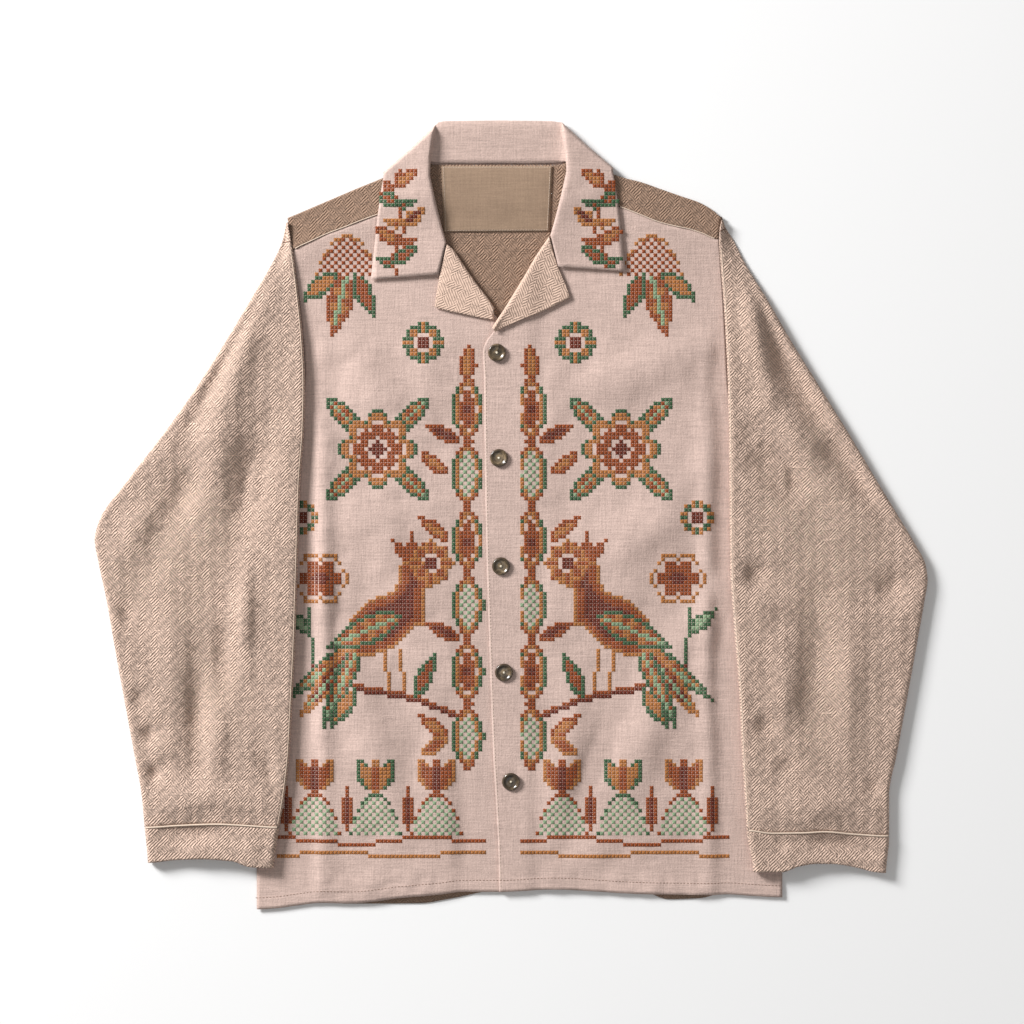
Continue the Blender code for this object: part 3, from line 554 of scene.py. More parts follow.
def pattern_group(name, inputs, outputs):
    """An empty shader group: inputs are (name, kind, default), outputs are (name, kind)."""
    group = bpy.data.node_groups.new(name, "ShaderNodeTree")
    for label, kind, default in inputs:
        socket = group.interface.new_socket(label, in_out="INPUT", socket_type=f"NodeSocket{kind}")
        if default is not None:
            socket.default_value = default
    for label, kind in outputs:
        group.interface.new_socket(label, in_out="OUTPUT", socket_type=f"NodeSocket{kind}")
    given = group.nodes.new("NodeGroupInput").outputs
    return group, Nodes(group), given, group.nodes.new("NodeGroupOutput")


def build_broken_twill(name):
    """Crinkled cotton: short diagonal ribs that change direction from patch to patch."""
    group, nodes, given, end = pattern_group(
        name, [("Vector", "Vector", None), ("Pitch", "Float", 0.0024)],
        [("Height", "Float"), ("Shade", "Float")],
    )
    vector = given["Vector"]
    wobble = nodes.add("ShaderNodeTexNoise", Vector=vector, Scale=260.0, Detail=2.0)
    shift = nodes.add("ShaderNodeVectorMath", {"operation": "MULTIPLY_ADD"})
    nodes.feed(shift, 0, wobble.outputs["Color"])
    nodes.feed(shift, 1, (0.0015, 0.0015, 0.0))
    nodes.feed(shift, 2, vector)
    x, y, _ = nodes.add("ShaderNodeSeparateXYZ", Vector=shift.outputs[0]).outputs
    turn = nodes.math("DIVIDE", 2 * math.pi * 0.7071, given["Pitch"])
    rising = nodes.times(nodes.plus(x, y), turn)
    falling = nodes.times(nodes.minus(x, y), turn)
    ribs = []
    for along, beside, seed in ((rising, falling, 1.7), (falling, rising, 5.1)):
        rib = nodes.math("SINE", along)
        dash = nodes.math("SINE", nodes.plus(nodes.times(beside, 0.31), seed))
        ribs.append(nodes.plus(nodes.times(rib, 0.85), nodes.times(dash, 0.25)))
    zigzag = nodes.math("SINE", nodes.times(x, 2 * math.pi / 0.013))
    patches = nodes.noise(vector, 110.0, 1.0)
    choice = nodes.plus(zigzag, nodes.times(nodes.minus(patches, 0.47), 8.0))
    side = nodes.between(choice, -0.25, 0.25)
    ribbed = nodes.plus(nodes.times(ribs[0], side), nodes.times(ribs[1], nodes.minus(1.0, side)))
    crinkle = nodes.noise(vector, 300.0, 3.0)
    height = nodes.plus(nodes.times(ribbed, 0.66), nodes.times(nodes.minus(crinkle, 0.5), 1.1))
    thick = nodes.noise(nodes.stretched(vector, (30.0, 700.0, 1.0)), 1.0, 0.0)
    slubs = nodes.between(thick, 0.68, 0.73)
    total = nodes.plus(nodes.plus(height, 0.5), nodes.times(slubs, 1.3))
    nodes.feed(end, "Height", total)
    nodes.feed(end, "Shade", nodes.between(total, -0.3, 1.3))
    return group


def build_slub_linen(name):
    """Plain woven linen: fine threads both ways, thick ones here and there."""
    group, nodes, given, end = pattern_group(
        name, [("Vector", "Vector", None)], [("Height", "Float"), ("Shade", "Float")]
    )
    vector = given["Vector"]
    weft = nodes.noise(nodes.stretched(vector, (40.0, 620.0, 1.0)), 1.0, 3.0)
    warp = nodes.noise(nodes.stretched(vector, (620.0, 40.0, 1.0)), 1.0, 3.0)
    grain = nodes.noise(vector, 700.0, 1.0)
    woven = nodes.plus(nodes.times(weft, 0.55), nodes.times(warp, 0.45))
    woven = nodes.plus(woven, nodes.times(nodes.minus(grain, 0.5), 0.5))
    thick = nodes.noise(nodes.stretched(vector, (70.0, 800.0, 1.0)), 1.0, 1.0)
    slubs = nodes.between(thick, 0.70, 0.78)
    flecks = nodes.between(nodes.noise(vector, 330.0, 1.0), 0.76, 0.82)
    height = nodes.plus(woven, nodes.times(nodes.plus(slubs, flecks), 0.3))
    nodes.feed(end, "Height", height)
    nodes.feed(end, "Shade", nodes.between(height, 0.25, 0.85))
    return group


def build_washed_tone(name):
    """Slow change of colour over washed cloth."""
    group, nodes, given, end = pattern_group(
        name, [
            ("Vector", "Vector", None), ("Colour", "Color", None), ("Shade", "Float", 0.5),
            ("Depth", "Float", 0.3),
        ], [("Colour", "Color")],
    )
    blotches = nodes.noise(given["Vector"], 14.0, 3.0)
    low = nodes.minus(1.0, nodes.times(given["Depth"], 0.5))
    tone = nodes.plus(low, nodes.times(given["Shade"], given["Depth"]))
    tone = nodes.times(tone, nodes.between(blotches, 0.3, 0.7, 0.94, 1.05))
    nodes.feed(end, "Colour", nodes.toned(given["Colour"], tone))
    return group


WEAVES = {"cotton": ("Broken twill", build_broken_twill), "linen": ("Slub linen", build_slub_linen)}

# Cloths: material, colour setting, weave and its turn, depth of its shade, bump's depth and strength
CLOTHS = {
    "linen": ("slubbed_linen", "linen", "linen", 0.0, 0.55, 0.0006, 0.8),
    # Real piping on the cuffs. Also a painted highlight as pale cords on the sleeves' inner folds and the
    # forward seams
    "piping": ("piping_cotton", "piping", "linen", 0.0, 0.16, 0.0002, 0.5),
    "label": ("label_tape", "label", "linen", 0.0, 0.40, 0.0004, 0.6),
    "cotton": ("crinkled_cotton", "cotton", "cotton", 0.0, 0.76, 0.0010, 1.0),
    "cotton_cuff": ("crinkled_cotton_cuff", "cotton", "cotton", math.pi / 2, 0.76, 0.0010, 1.0),
    # Painted shade: the back's material is a darker copy of the sleeves' cotton, for the shoulder strips
    # and the inside of the neck
    "cotton_back": ("crinkled_cotton_back", "cotton_back", "cotton", 0.0, 0.45, 0.0007, 1.0),
    "cotton_facing": ("crinkled_cotton_facing", "cotton_facing", "cotton", 0.4, 0.26, 0.0004, 1.0),
}


def new_material(name):
    material = bpy.data.materials.new(name)
    material.use_nodes = True
    return material, Nodes(material.node_tree), material.node_tree.nodes["Principled BSDF"]


def cloth_of(kind):
    """The woven material of a kind of cloth, made on its first use."""
    name, colour, weave, turn, depth, bump, strength = CLOTHS[kind]
    if name in bpy.data.materials:
        return bpy.data.materials[name]
    colour = getattr(bpy.context.scene.shirt_cloth, colour)
    material, nodes, shader = new_material(name)
    where = nodes.add("ShaderNodeTexCoord").outputs["Object"]
    turned = nodes.add("ShaderNodeMapping", Vector=where, Rotation=(0.0, 0.0, turn))
    woven = nodes.group(*WEAVES[weave], Vector=turned.outputs[0])
    tone = nodes.group(
        "Washed tone", build_washed_tone, Vector=where, Colour=(*colour, 1.0),
        Shade=woven.outputs["Shade"], Depth=depth,
    )
    nodes.feed(shader, "Base Color", tone.outputs["Colour"])
    nodes.feed(shader, "Normal", nodes.bump(woven.outputs["Height"], bump, strength))
    nodes.feed(shader, "Roughness", 0.94)
    nodes.feed(shader, "Specular IOR Level", 0.12)
    nodes.feed(shader, "Sheen Weight", 0.12)
    nodes.feed(shader, "Sheen Roughness", 0.5)
    return material


def thread_material(name, colour=None):
    """Twisted thread; without a colour it takes each stitch's own."""
    material, nodes, shader = new_material(name)
    where = nodes.add("ShaderNodeTexCoord").outputs["Object"]
    strands = nodes.noise(nodes.stretched(where, (2600.0, 2600.0, 800.0)), 1.0, 1.0)
    if colour is None:
        colour = nodes.add("ShaderNodeAttribute", {"attribute_name": "thread"}).outputs["Color"]
    shade = nodes.between(strands, 0.3, 0.7, 0.72, 1.2)
    nodes.feed(shader, "Base Color", nodes.toned(colour, shade))
    nodes.feed(shader, "Normal", nodes.bump(strands, 0.0002, 0.6))
    nodes.feed(shader, "Roughness", 0.5)
    nodes.feed(shader, "Specular IOR Level", 0.3)
    nodes.feed(shader, "Sheen Weight", 0.05)
    return material


def horn_material(name, low, middle, high):
    """Polished horn with clouds of three colours."""
    material, nodes, shader = new_material(name)
    where = nodes.add("ShaderNodeTexCoord").outputs["Object"]
    cloud = nodes.add("ShaderNodeTexNoise", Vector=where, Scale=110.0, Detail=3.0, Distortion=1.2)
    ramp = nodes.add("ShaderNodeValToRGB", Fac=cloud.outputs["Fac"])
    stops = ramp.color_ramp.elements
    stops[0].position, stops[0].color = 0.34, (*low, 1.0)
    stops[1].position, stops[1].color = 0.70, (*high, 1.0)
    stops.new(0.52).color = (*middle, 1.0)
    nodes.feed(shader, "Base Color", ramp.outputs[0])
    scratches = nodes.noise(where, 900.0, 2.0)
    nodes.feed(shader, "Roughness", nodes.between(scratches, 0.3, 0.7, 0.22, 0.36))
    nodes.feed(shader, "Coat Weight", 0.4)
    nodes.feed(shader, "Coat Roughness", 0.12)
    return material


# Mesh building


def finish_piece(mesh, name, materials, nodes=()):
    obj = bpy.data.objects.new(name, mesh)
    bpy.context.scene.collection.objects.link(obj)
    for material in materials:
        mesh.materials.append(material)
    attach(obj, BODY)
    if nodes:
        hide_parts(*nodes)
    return obj


def mesh_of(bm, name):
    """Turns a finished bmesh into a smooth mesh."""
    mesh = bpy.data.meshes.new(name)
    bm.to_mesh(mesh)
    bm.free()
    mesh.shade_smooth()
    return mesh


def apply_modifiers(obj):
    """Bakes the piece's modifiers into its mesh."""
    graph = bpy.context.evaluated_depsgraph_get()
    mesh = bpy.data.meshes.new_from_object(obj.evaluated_get(graph))
    obj.modifiers.clear()
    old = obj.data
    obj.data = mesh
    bpy.data.meshes.remove(old)
    mesh.name = obj.name


def sheet(name, rows, wall, material, nodes, left_out=None, closed=False):
    """A cloth shell through rows of plan points, each (across, down, height), hem row first."""
    columns = len(rows[0])
    bm = bmesh.new()
    bmesh.ops.create_grid(bm, x_segments=columns - 1, y_segments=len(rows) - 1)
    bm.verts.ensure_lookup_table()
    bm.faces.ensure_lookup_table()
    for index, vertex in enumerate(bm.verts):
        vertex.co = place(*rows[index // columns][index % columns])
    if left_out:
        holes = [
            face for index, face in enumerate(bm.faces)
            if left_out(index // (columns - 1), index % (columns - 1))
        ]
        bmesh.ops.delete(bm, geom=holes, context="FACES")
    if closed:
        bmesh.ops.remove_doubles(bm, verts=bm.verts, dist=0.00001)
    obj = finish_piece(mesh_of(bm, name), name, [material], nodes)
    shell = obj.modifiers.new("wall", "SOLIDIFY")
    shell.thickness = wall * MM
    shell.offset = 0.0
    return obj


def panel_rows(edge_a, edge_b, bottom, top, columns, row_shares, middle):
    """Rows of a panel between two side edges, given by down, and two ends, given by across."""
    low_a, low_b = (edge(bottom(edge(HEM_NEAR))) for edge in (edge_a, edge_b))
    high_a, high_b = (edge(top(edge(SHOULDER_NEAR))) for edge in (edge_a, edge_b))
    rows = []
    for share in row_shares:
        a = edge_a(mix(bottom(low_a), top(high_a), share))
        b = edge_b(mix(bottom(low_b), top(high_b), share))
        row = []
        for t in columns:
            down = mix(bottom(mix(low_a, low_b, t)), top(mix(high_a, high_b, t)), share)
            across = mix(a, b, t)
            row.append((across, down, middle(across, down)))
        rows.append(row)
    return rows


def cloth_wall():
    return bpy.context.scene.shirt_cloth.wall / MM


def steps_of(length):
    return max(4, round(length * MM / bpy.context.scene.shirt_cloth.cell))


class SHIRT_OT_back(Operator):
    """Lays the back on the table and folds its shoulders forward"""

    bl_idname = "shirt.back"
    bl_label = "Back"

    def execute(self, context):
        right_point, left_point = SHOULDER_POINTS
        high_a = body_right_edge(shoulder_line(right_point))
        high_b = body_left_edge(shoulder_line(left_point))
        neck = [(corner - high_a) / (high_b - high_a) for corner in NECK_CORNERS]
        side, middle = steps_of(SHOULDER_WIDTH), steps_of(NECK_WIDTH)
        columns = shares((neck[0], side), (neck[1], middle), (1.0, side))
        row_shares = shares((0.7, 60), (1.0, 50))
        rows = panel_rows(
            body_right_edge, body_left_edge, back_hem, shoulder_line, columns, row_shares, back_middle
        )
        body_rows = len(rows)
        edge = rows[-1]
        for angle in range(-75, 91, 15):
            turn = math.radians(angle)
            forward, rise = SHOULDER_FOLD * math.cos(turn), SHOULDER_FOLD * (1 + math.sin(turn))
            rows.append([(x, y - forward, back_middle(x, y) + rise) for x, y, _ in edge])
        ends = []
        for x, y, _ in edge:
            side_edge = body_right_edge if x < NECK_CENTRE else body_left_edge
            shift = side_edge(forward_seam(x)) - side_edge(y)
            across = x + shift * ease(1 - abs(x - side_edge(y)) / 60)
            ends.append((across, forward_seam(across)))
        for share in shares((0.85, 9), (1.0, 4))[1:]:
            row = []
            for (x, y, _), (end_across, end_down) in zip(edge, ends):
                across, down = mix(x, end_across, share), mix(y, end_down, share)
                lip = 0.45 * math.exp(-(((share - 0.93) / 0.05) ** 2))
                row.append((across, down, shoulder_middle(across, down) + lip))
            rows.append(row)

        def neck_gap(row, column):
            return row >= body_rows - 1 and side <= column < side + middle

        # Painted shade: the back wears a darker copy of the sleeves' cotton
        cloth = cloth_of("cotton_back")
        back = sheet("back_cloth", rows, cloth_wall(), cloth, ["back"], neck_gap)
        return {"FINISHED"}


class SHIRT_OT_fronts(Operator):
    """Lays the two linen fronts on the back, the left one over the right"""

    bl_idname = "shirt.fronts"
    bl_label = "Fronts"

    def execute(self, context):
        def seam(across):
            return forward_seam(across) + 0.4

        row_shares = shares((1.0, steps_of(FRONT_LENGTH)))
        wall = cloth_wall()
        rows = panel_rows(
            body_right_edge, under_front_edge, front_hem, seam,
            shares((1.0, steps_of(UNDER_FRONT_WIDTH))), row_shares, front_middle,
        )
        under = sheet("front_right_cloth", rows, wall, cloth_of("linen"), ["front_right"])
        rows = panel_rows(
            over_front_edge, body_left_edge, front_hem, seam,
            shares((0.16, steps_of(LAP_WIDTH)), (1.0, steps_of(OVER_FRONT_WIDTH))), row_shares,
            over_front_middle,
        )
        over = sheet("front_left_cloth", rows, wall, cloth_of("linen"), ["front_left"])
        return {"FINISHED"}


def sleeve_relief(folds, across, down):
    """Soft folds, crinkles and unevenness of a sleeve's upper layer."""
    relief = 2.6 * fold_height(folds, across, down) + 1.5 * fold_height(CUFF_FOLDS, across, down)
    return relief + 0.9 * rumple(across, down, 52, 8.0) + 0.6 * rumple(across, down, 21, 9.0)


# A ring's angles over a fold, shares along the top, angles under a fold, shares along the bottom
RING_SPANS = (
    [0, 18, 36, 54, 72], shares((1.0, RING_STEPS)), [-22, -45, -68], shares((1.0, RING_STEPS // 3)),
)


def sleeve_ring(side, inner, outer, down, wall, on_tube, puff):
    """One ring of a sleeve from its outer fold over the top to its inner fold and back under."""
    body_edge = body_right_edge if side < 0 else body_left_edge
    folds = RIGHT_SLEEVE_FOLDS if side < 0 else LEFT_SLEEVE_FOLDS
    width = abs(inner - outer)
    towards = (inner - outer) / width
    skin = wall / 2
    outer += towards * skin
    round_in = min(4.2, 0.2 * width)

    def height_on_body(x):
        return front_middle(x, down) + SLEEVE_OFF_FRONT + LAYER_GAP + skin

    def below(x):
        outside = (body_edge(down) - x) * towards
        if not on_tube:
            return skin
        return mix(height_on_body(x), skin, ease((outside - EDGE_LIP) / SLOPE_RUN))

    seat = height_on_body(inner)
    climb = 1.0 if on_tube else ease((down - SLEEVE_WIDENS) / 150)
    inner_top = seat + mix(1.8 * ease((down - SLEEVE_TOP) / 40), puff, climb)
    outer_top = skin + puff * ease(width / 60)
    reach = min(110.0, 0.85 * width)

    def above(x):
        base = mix(inner_top, outer_top, ease(abs(x - inner) / reach))
        near = min(abs(x - inner), abs(x - outer))
        relief = sleeve_relief(folds, x, down) * ease((near - 2) / 18)
        return max(base + relief, below(x) + wall + 0.4)

    outer_low, outer_high = below(outer + towards * round_in), above(outer + towards * round_in)
    inner_high = above(inner - towards * round_in)
    inner_low = below(inner - towards * round_in) if on_tube else seat
    inner_high = max(inner_high, inner_low + 1.2 * wall)

    def around(fold, inwards, low, high, angle):
        turn = math.radians(angle)
        return fold + inwards * round_in * (1 - math.cos(turn)), mix(low, high, (1 + math.sin(turn)) / 2)

    def outer_turn(angle):
        return around(outer, towards, outer_low, outer_high, angle)

    def inner_turn(angle):
        return around(inner, -towards, inner_low, inner_high, angle)

    upper_turn, top_shares, lower_turn, low_shares = RING_SPANS
    start, stop = outer + towards * round_in, inner - towards * round_in
    points = [outer_turn(angle) for angle in upper_turn]
    points += [(x, above(x)) for x in (mix(start, stop, share) for share in top_shares)]
    points += [inner_turn(angle) for angle in upper_turn[::-1] + lower_turn]
    hole_start = len(points) - 1
    if on_tube:
        edge = body_edge(down) - towards * EDGE_LIP
        foot = body_edge(down) - towards * SLOPE_FOOT
        under = [mix(stop, edge, share) for share in (0.4, 0.8, 1.0)]
        under += [mix(edge, foot, share) for share in (0.33, 0.67)]
        points += [(x, below(x)) for x in under]
    else:
        foot = body_edge(down) - towards * 1.2
        foot = foot if (foot - start) * towards > 1 else start + towards
        points += [points[-1]] * 5
    hole = range(hole_start, len(points))
    points += [(mix(foot, start, share), below(mix(foot, start, share))) for share in low_shares]
    points += [outer_turn(angle) for angle in lower_turn[::-1]]
    points.append(points[0])
    return points, hole


def ring_rows(side, table, downs, wall, shift):
    """Rings of a sleeve or cuff as a sheet's rows, and the places of the armhole in a ring."""
    puff = bpy.context.scene.shirt_cloth.sleeve_puff / MM
    inner_at, outer_at = through(table), through(table, 2)
    rows, hole = [], None
    for down in downs:
        on_tube = down >= UNDERARM_DOWN
        ring, gap = sleeve_ring(side, inner_at(down), outer_at(down), down, wall, on_tube, puff)
        hole = hole or gap
        row = [(x, shift(x, down), z) for x, z in ring]
        rows.append(row if side < 0 else row[::-1])
    return rows, hole


class SHIRT_OT_sleeves(Operator):
    """Makes the two sleeves as soft flat tubes whose inner folds lie on the fronts"""

    bl_idname = "shirt.sleeves"
    bl_label = "Sleeves"

    def execute(self, context):
        for name, side, table, piping in (
            ("sleeve_right", -1, RIGHT_SLEEVE, RIGHT_PIPING),
            ("sleeve_left", 1, LEFT_SLEEVE, LEFT_PIPING),
        ):
            seam = through(piping)
            last, top = piping[0][1], table[0][0]
            tube = [mix(last, UNDERARM_DOWN, share) for share in shares((1.0, TUBE_RINGS))]
            armhole = [mix(UNDERARM_DOWN - 3, top, share) for share in shares((1.0, ARMHOLE_RINGS))]

            def shift(x, down):
                return down + (seam(x) - last) * ease((down - last + 60) / 60)

            rows, hole = ring_rows(side, table, tube + armhole, cloth_wall(), shift)
            width = len(rows[0]) - 1

            def armhole_gap(row, column):
                at = column if side < 0 else width - 1 - column
                return row >= len(tube) - 1 and at in hole

            sleeve = sheet(
                f"{name}_cloth", rows, cloth_wall(), cloth_of("cotton"), [name],
                armhole_gap, True,
            )
        return {"FINISHED"}


class SHIRT_OT_cuffs(Operator):
    """Makes the two cuffs, doubled and set on below a piped seam"""

    bl_idname = "shirt.cuffs"
    bl_label = "Cuffs"

    def execute(self, context):
        wall = 1.5 * cloth_wall()
        for name, side, table, piping, mouth in (
            ("cuff_right", -1, RIGHT_SLEEVE, RIGHT_PIPING, RIGHT_MOUTH),
            ("cuff_left", 1, LEFT_SLEEVE, LEFT_PIPING, LEFT_MOUTH),
        ):
            seam, lip = through(piping), through(mouth)
            top, low = piping[0][1] + 1.5, mouth[0][1]

            def shift(x, down):
                share = (down - top) / (low - top)
                return mix(seam(x) + 1.0, lip(x), share)

            downs = [mix(low, top, share) for share in shares((1.0, CUFF_RINGS))]
            rows, _ = ring_rows(side, table, downs, wall, shift)
            cuff = sheet(
                f"{name}_cloth", rows, wall, cloth_of("cotton_cuff"), [name], None, True
            )
        return {"FINISHED"}


def rolled_profile(crest, middle, outer, seam, seam_height, stand_height, leaf, spans):
    """Points from the neck seam over the crest to a leaf's outer edge."""
    to_seam = (seam - crest).normalized()
    to_leaf = (middle - crest).normalized()
    start = leaf(crest, 0.0)
    radius = max(abs(start - stand_height) / 2, 1.4)
    centre = (start + stand_height) / 2
    root_reach = min(radius, 0.8 * (seam - crest).length)
    root = crest + to_seam * root_reach
    points = []
    for share in spans[0]:
        spot = seam.lerp(root, share)
        points.append((*spot, mix(seam_height, stand_height, ease(share))))
    for angle in (-60, -30, 0, 30, 60):
        turn = math.radians(angle)
        reach = 1 - math.cos(turn)
        height = centre + math.sin(turn) * (start - stand_height) / 2
        spot = crest + (to_leaf * radius if angle > 0 else to_seam * root_reach) * reach
        points.append((*spot, height))
    first = crest + to_leaf * radius
    for share in spans[1]:
        if share < 0.5:
            spot = first.lerp(middle, share * 2)
        else:
            spot = middle.lerp(outer, share * 2 - 1)
        points.append((*spot, leaf(spot, share)))
    return points


def leaf_on(layer, side, lift):
    """Height of a leaf that lies on a layer, or under the back, by its place across the leaf."""
    low = through([(share, part * lift) for share, part in LEAF_SLOPE])

    def height(spot, share):
        over = layer(spot.x, spot.y) + BODY_STEP + low(share)
        over += 0.25 * rumple(spot.x, spot.y, 18, 4.0) * ease(share * 3) * ease((1 - share) * 6)
        return mix(BACK_MIDDLE, over, (1 + side) / 2)

    return height


def roll_normal(points, index, towards):
    """The direction square to the roll line at one of its points, on the side of towards."""
    before = Vector(points[max(index - 1, 0)])
    after = Vector(points[min(index + 1, len(points) - 1)])
    run = (after - before).normalized()
    normal = Vector((-run.y, run.x))
    return normal if normal.dot(towards) > 0 else -normal


def collar_station(index, mirrored):
    """Plan points across the collar, the seam's and stand's heights, and the fall's side."""
    crest_x, crest_y, mid_x, mid_y, out_x, out_y, seam_x, seam_y, side = COLLAR_STATIONS[index]
    points = [(crest_x, crest_y), (mid_x, mid_y), (out_x, out_y)]
    if seam_x is None:
        crests = [(row[0], row[1]) for row in COLLAR_STATIONS]
        normal = roll_normal(crests, index, Vector((-1.0, 0.2)))
        points.append(tuple(Vector(points[0]) + normal * 2.9))
    else:
        points.append((seam_x, seam_y))
    if mirrored:
        raised = ease((1 + side) * 2)
        points = [
            (-x, y - (LEFT_LEAF_RAISE + LEFT_LEAF_GROWTH * (y - CREST_DOWN)) * raised)
            for x, y in points[:3]
        ] + [(-x, y - (LEFT_LEAF_RAISE * raised if seam_x is None else 0.0)) for x, y in points[3:]]
    crest, middle, outer, seam = (Vector((NECK_CENTRE + x, y)) for x, y in points)
    seam_height = stand_height = front_middle(*seam)
    if seam_x is not None:
        back_share = ease((BACK_NECK_DOWN - crest_y) / BACK_NECK_SLOPE)
        stand_height = mix(seam_height, STAND_HEIGHT, back_share)
        seam_height = mix(seam_height, back_middle(*seam) + 0.3, back_share)
    return crest, middle, outer, seam, seam_height, stand_height, side


def finer(stations, steps):
    """Stations filled in smoothly along the roll: each is (vectors..., numbers...)."""
    fine = []
    for i in range(len(stations) - 1):
        for step in range(steps):
            t = step / steps
            fine.append(tuple(mix(a, b, t) for a, b in zip(stations[i], stations[i + 1])))
    fine.append(stations[-1])
    return fine


class SHIRT_OT_collar(Operator):
    """Rolls the collar round the neck: stand, crest and turned-over fall"""

    bl_idname = "shirt.collar"
    bl_label = "Collar"

    def execute(self, context):
        lift = context.scene.shirt_cloth.collar_lift / MM
        count = len(COLLAR_STATIONS)
        order = [(i, False) for i in range(count)] + [(i, True) for i in range(count - 2, -1, -1)]
        stations = [collar_station(index, mirrored) for index, mirrored in order]
        spans = (shares((1.0, 8))[:-1], shares((1.0, 20)))
        columns = []
        for *section, side in finer(stations, 5):
            side = math.sin(side * math.pi / 2)
            leaf = leaf_on(top_layer_middle, side, mix(2.6, lift, (1 + side) / 2))
            columns.append(rolled_profile(*section, leaf, spans)[::-1])
        rows = [[column[i] for column in columns] for i in range(len(columns[0]))]
        collar = sheet("collar_cloth", rows, cloth_wall(), cloth_of("linen"), ["collar"])
        return {"FINISHED"}


class SHIRT_OT_lapels(Operator):
    """Turns each front's facing out along the roll line"""

    bl_idname = "shirt.lapels"
    bl_label = "Lapels"

    def execute(self, context):
        lift = 0.9 * context.scene.shirt_cloth.collar_lift / MM
        for name, table, towards, layer in (
            ("lapel_right", RIGHT_LAPEL, (-1.0, 0.3), front_middle),
            ("lapel_left", LEFT_LAPEL, (1.0, 0.3), over_front_middle),
        ):
            crests = [(row[0], row[1]) for row in table]
            stations = []
            for index, (crest_x, crest_y, out_x, out_y) in enumerate(table):
                crest, outer = Vector((crest_x, crest_y)), Vector((out_x, out_y))
                normal = roll_normal(crests, index, Vector(towards))
                seam = crest + normal * 2.8
                bow = normal * 0.16 * (outer - crest).length
                middle = crest.lerp(outer, 0.5) + bow * (1 - abs(2 * index / (len(table) - 1) - 1))
                stations.append((crest, middle, outer, seam, layer(*seam)))
            spans = (shares((1.0, 2))[:-1], shares((1.0, 16)))
            leaf = leaf_on(layer, 1.0, lift)
            rows = [
                rolled_profile(*section, base, base, leaf, spans)
                for *section, base in finer(stations, 4)
            ]
            cloth = cloth_of("cotton_facing")
            lapel = sheet(f"{name}_cloth", rows, cloth_wall(), cloth, [name])
        return {"FINISHED"}


class SHIRT_OT_label(Operator):
    """Sews a bare label inside the back of the neck"""

    bl_idname = "shirt.label"
    bl_label = "Label"

    def execute(self, context):
        top_right, top_left, low_left, low_right = (Vector(corner) for corner in LABEL_CORNERS)
        rows = []
        for up in shares((1.0, 24)):
            row = []
            for along in shares((1.0, 40)):
                spot = low_right.lerp(low_left, along).lerp(top_right.lerp(top_left, along), up)
                edge = min(along, 1 - along, 0.6 * up, 0.6 * (1 - up))
                puff = 0.5 * ease(edge / 0.08) + 0.15 * rumple(spot.x, spot.y, 20, 6.0)
                row.append((spot.x, spot.y, back_middle(*spot) + 1.3 + puff))
            rows.append(row)
        label = sheet("neck_label_cloth", rows, 0.6, cloth_of("label"), ["neck_label"])
        return {"FINISHED"}


class SHIRT_OT_buttons(Operator):
    """Turns the horn buttons, each dished with a raised rim"""

    bl_idname = "shirt.buttons"
    bl_label = "Buttons"

    def execute(self, context):
        settings = context.scene.shirt_buttons
        scale = settings.radius / BUTTON_RADIUS
        horns = [horn_material(name, *clouds) for name, *clouds in (
            ("dark_horn", settings.horn, (0.070, 0.046, 0.024), (0.190, 0.130, 0.070)),
            ("clouded_horn", (0.030, 0.021, 0.012), (0.105, 0.074, 0.043), (0.290, 0.210, 0.125)),
            # This pale horn is a painted highlight on the knob in the button's middle
            ("pale_horn", (0.620, 0.540, 0.400), (0.720, 0.640, 0.500), (0.800, 0.740, 0.620)),
        )]
        for number, (across, down) in enumerate(BUTTON_PLACES, start=1):
            seat = over_front_middle(across, down) + BUTTON_SEAT
            bm = bmesh.new()
            corners = [
                bm.verts.new((radius * MM * scale, 0, height * MM)) for radius, height in BUTTON_PROFILE
            ]
            rails = [bm.edges.new(pair) for pair in zip(corners, corners[1:])]
            bmesh.ops.spin(
                bm, geom=corners + rails, cent=(0, 0, 0), axis=(0, 0, 1), angle=2 * math.pi,
                steps=settings.segments, use_merge=True,
            )
            bmesh.ops.remove_doubles(bm, verts=bm.verts, dist=0.00001)
            bmesh.ops.recalc_face_normals(bm, faces=bm.faces)
            for face in bm.faces:
                centre = face.calc_center_median()
                out = centre.xy.length / (MM * scale)
                dark = centre.z < BUTTON_UNDER * MM or out > BUTTON_DISH
                # The middle knob takes the third, pale horn: a painted highlight
                face.material_index = 0 if dark else 2 if out < BUTTON_HIGHLIGHT_REACH else 1
            bmesh.ops.rotate(
                bm, verts=bm.verts, matrix=Matrix.Rotation(math.radians(1.5 * number), 3, "X")
            )
            bmesh.ops.translate(bm, verts=bm.verts, vec=place(across, down, seat))
            name = f"button_{number}"
            finish_piece(mesh_of(bm, "button"), f"{name}_horn", horns, [name])
        return {"FINISHED"}


# Stitches and cords, set on whatever cloth lies on top


def cloth_tops():
    """The cloth pieces to stitch on, each with its tree of faces."""
    graph = bpy.context.evaluated_depsgraph_get()
    found = {}
    for obj in bpy.context.scene.objects:
        if obj.name.endswith("_cloth"):
            found[obj.name] = BVHTree.FromObject(obj, graph)
    return found


def land(tops, across, down):
    """Name, place and normal of the cloth on top at a plan point."""
    x, y, _ = place(across, down, 0.0)
    best = (None, None, None)
    for name, tree in tops.items():
        hit, normal, _, _ = tree.ray_cast(Vector((x, y, 0.1)), Vector((0, 0, -1)))
        if hit is not None and (best[1] is None or hit.z > best[1].z):
            best = (name, hit, normal if normal.z > 0 else -normal)
    return best


def strand(bm, shape):
    """A low strand along X: shape places a corner from its shares along and beside, -1 to 1."""
    made = bmesh.ops.create_grid(bm, x_segments=3, y_segments=3, size=1.0)["verts"]
    for vertex in made:
        vertex.co = shape(vertex.co.x, vertex.co.y)
    return made


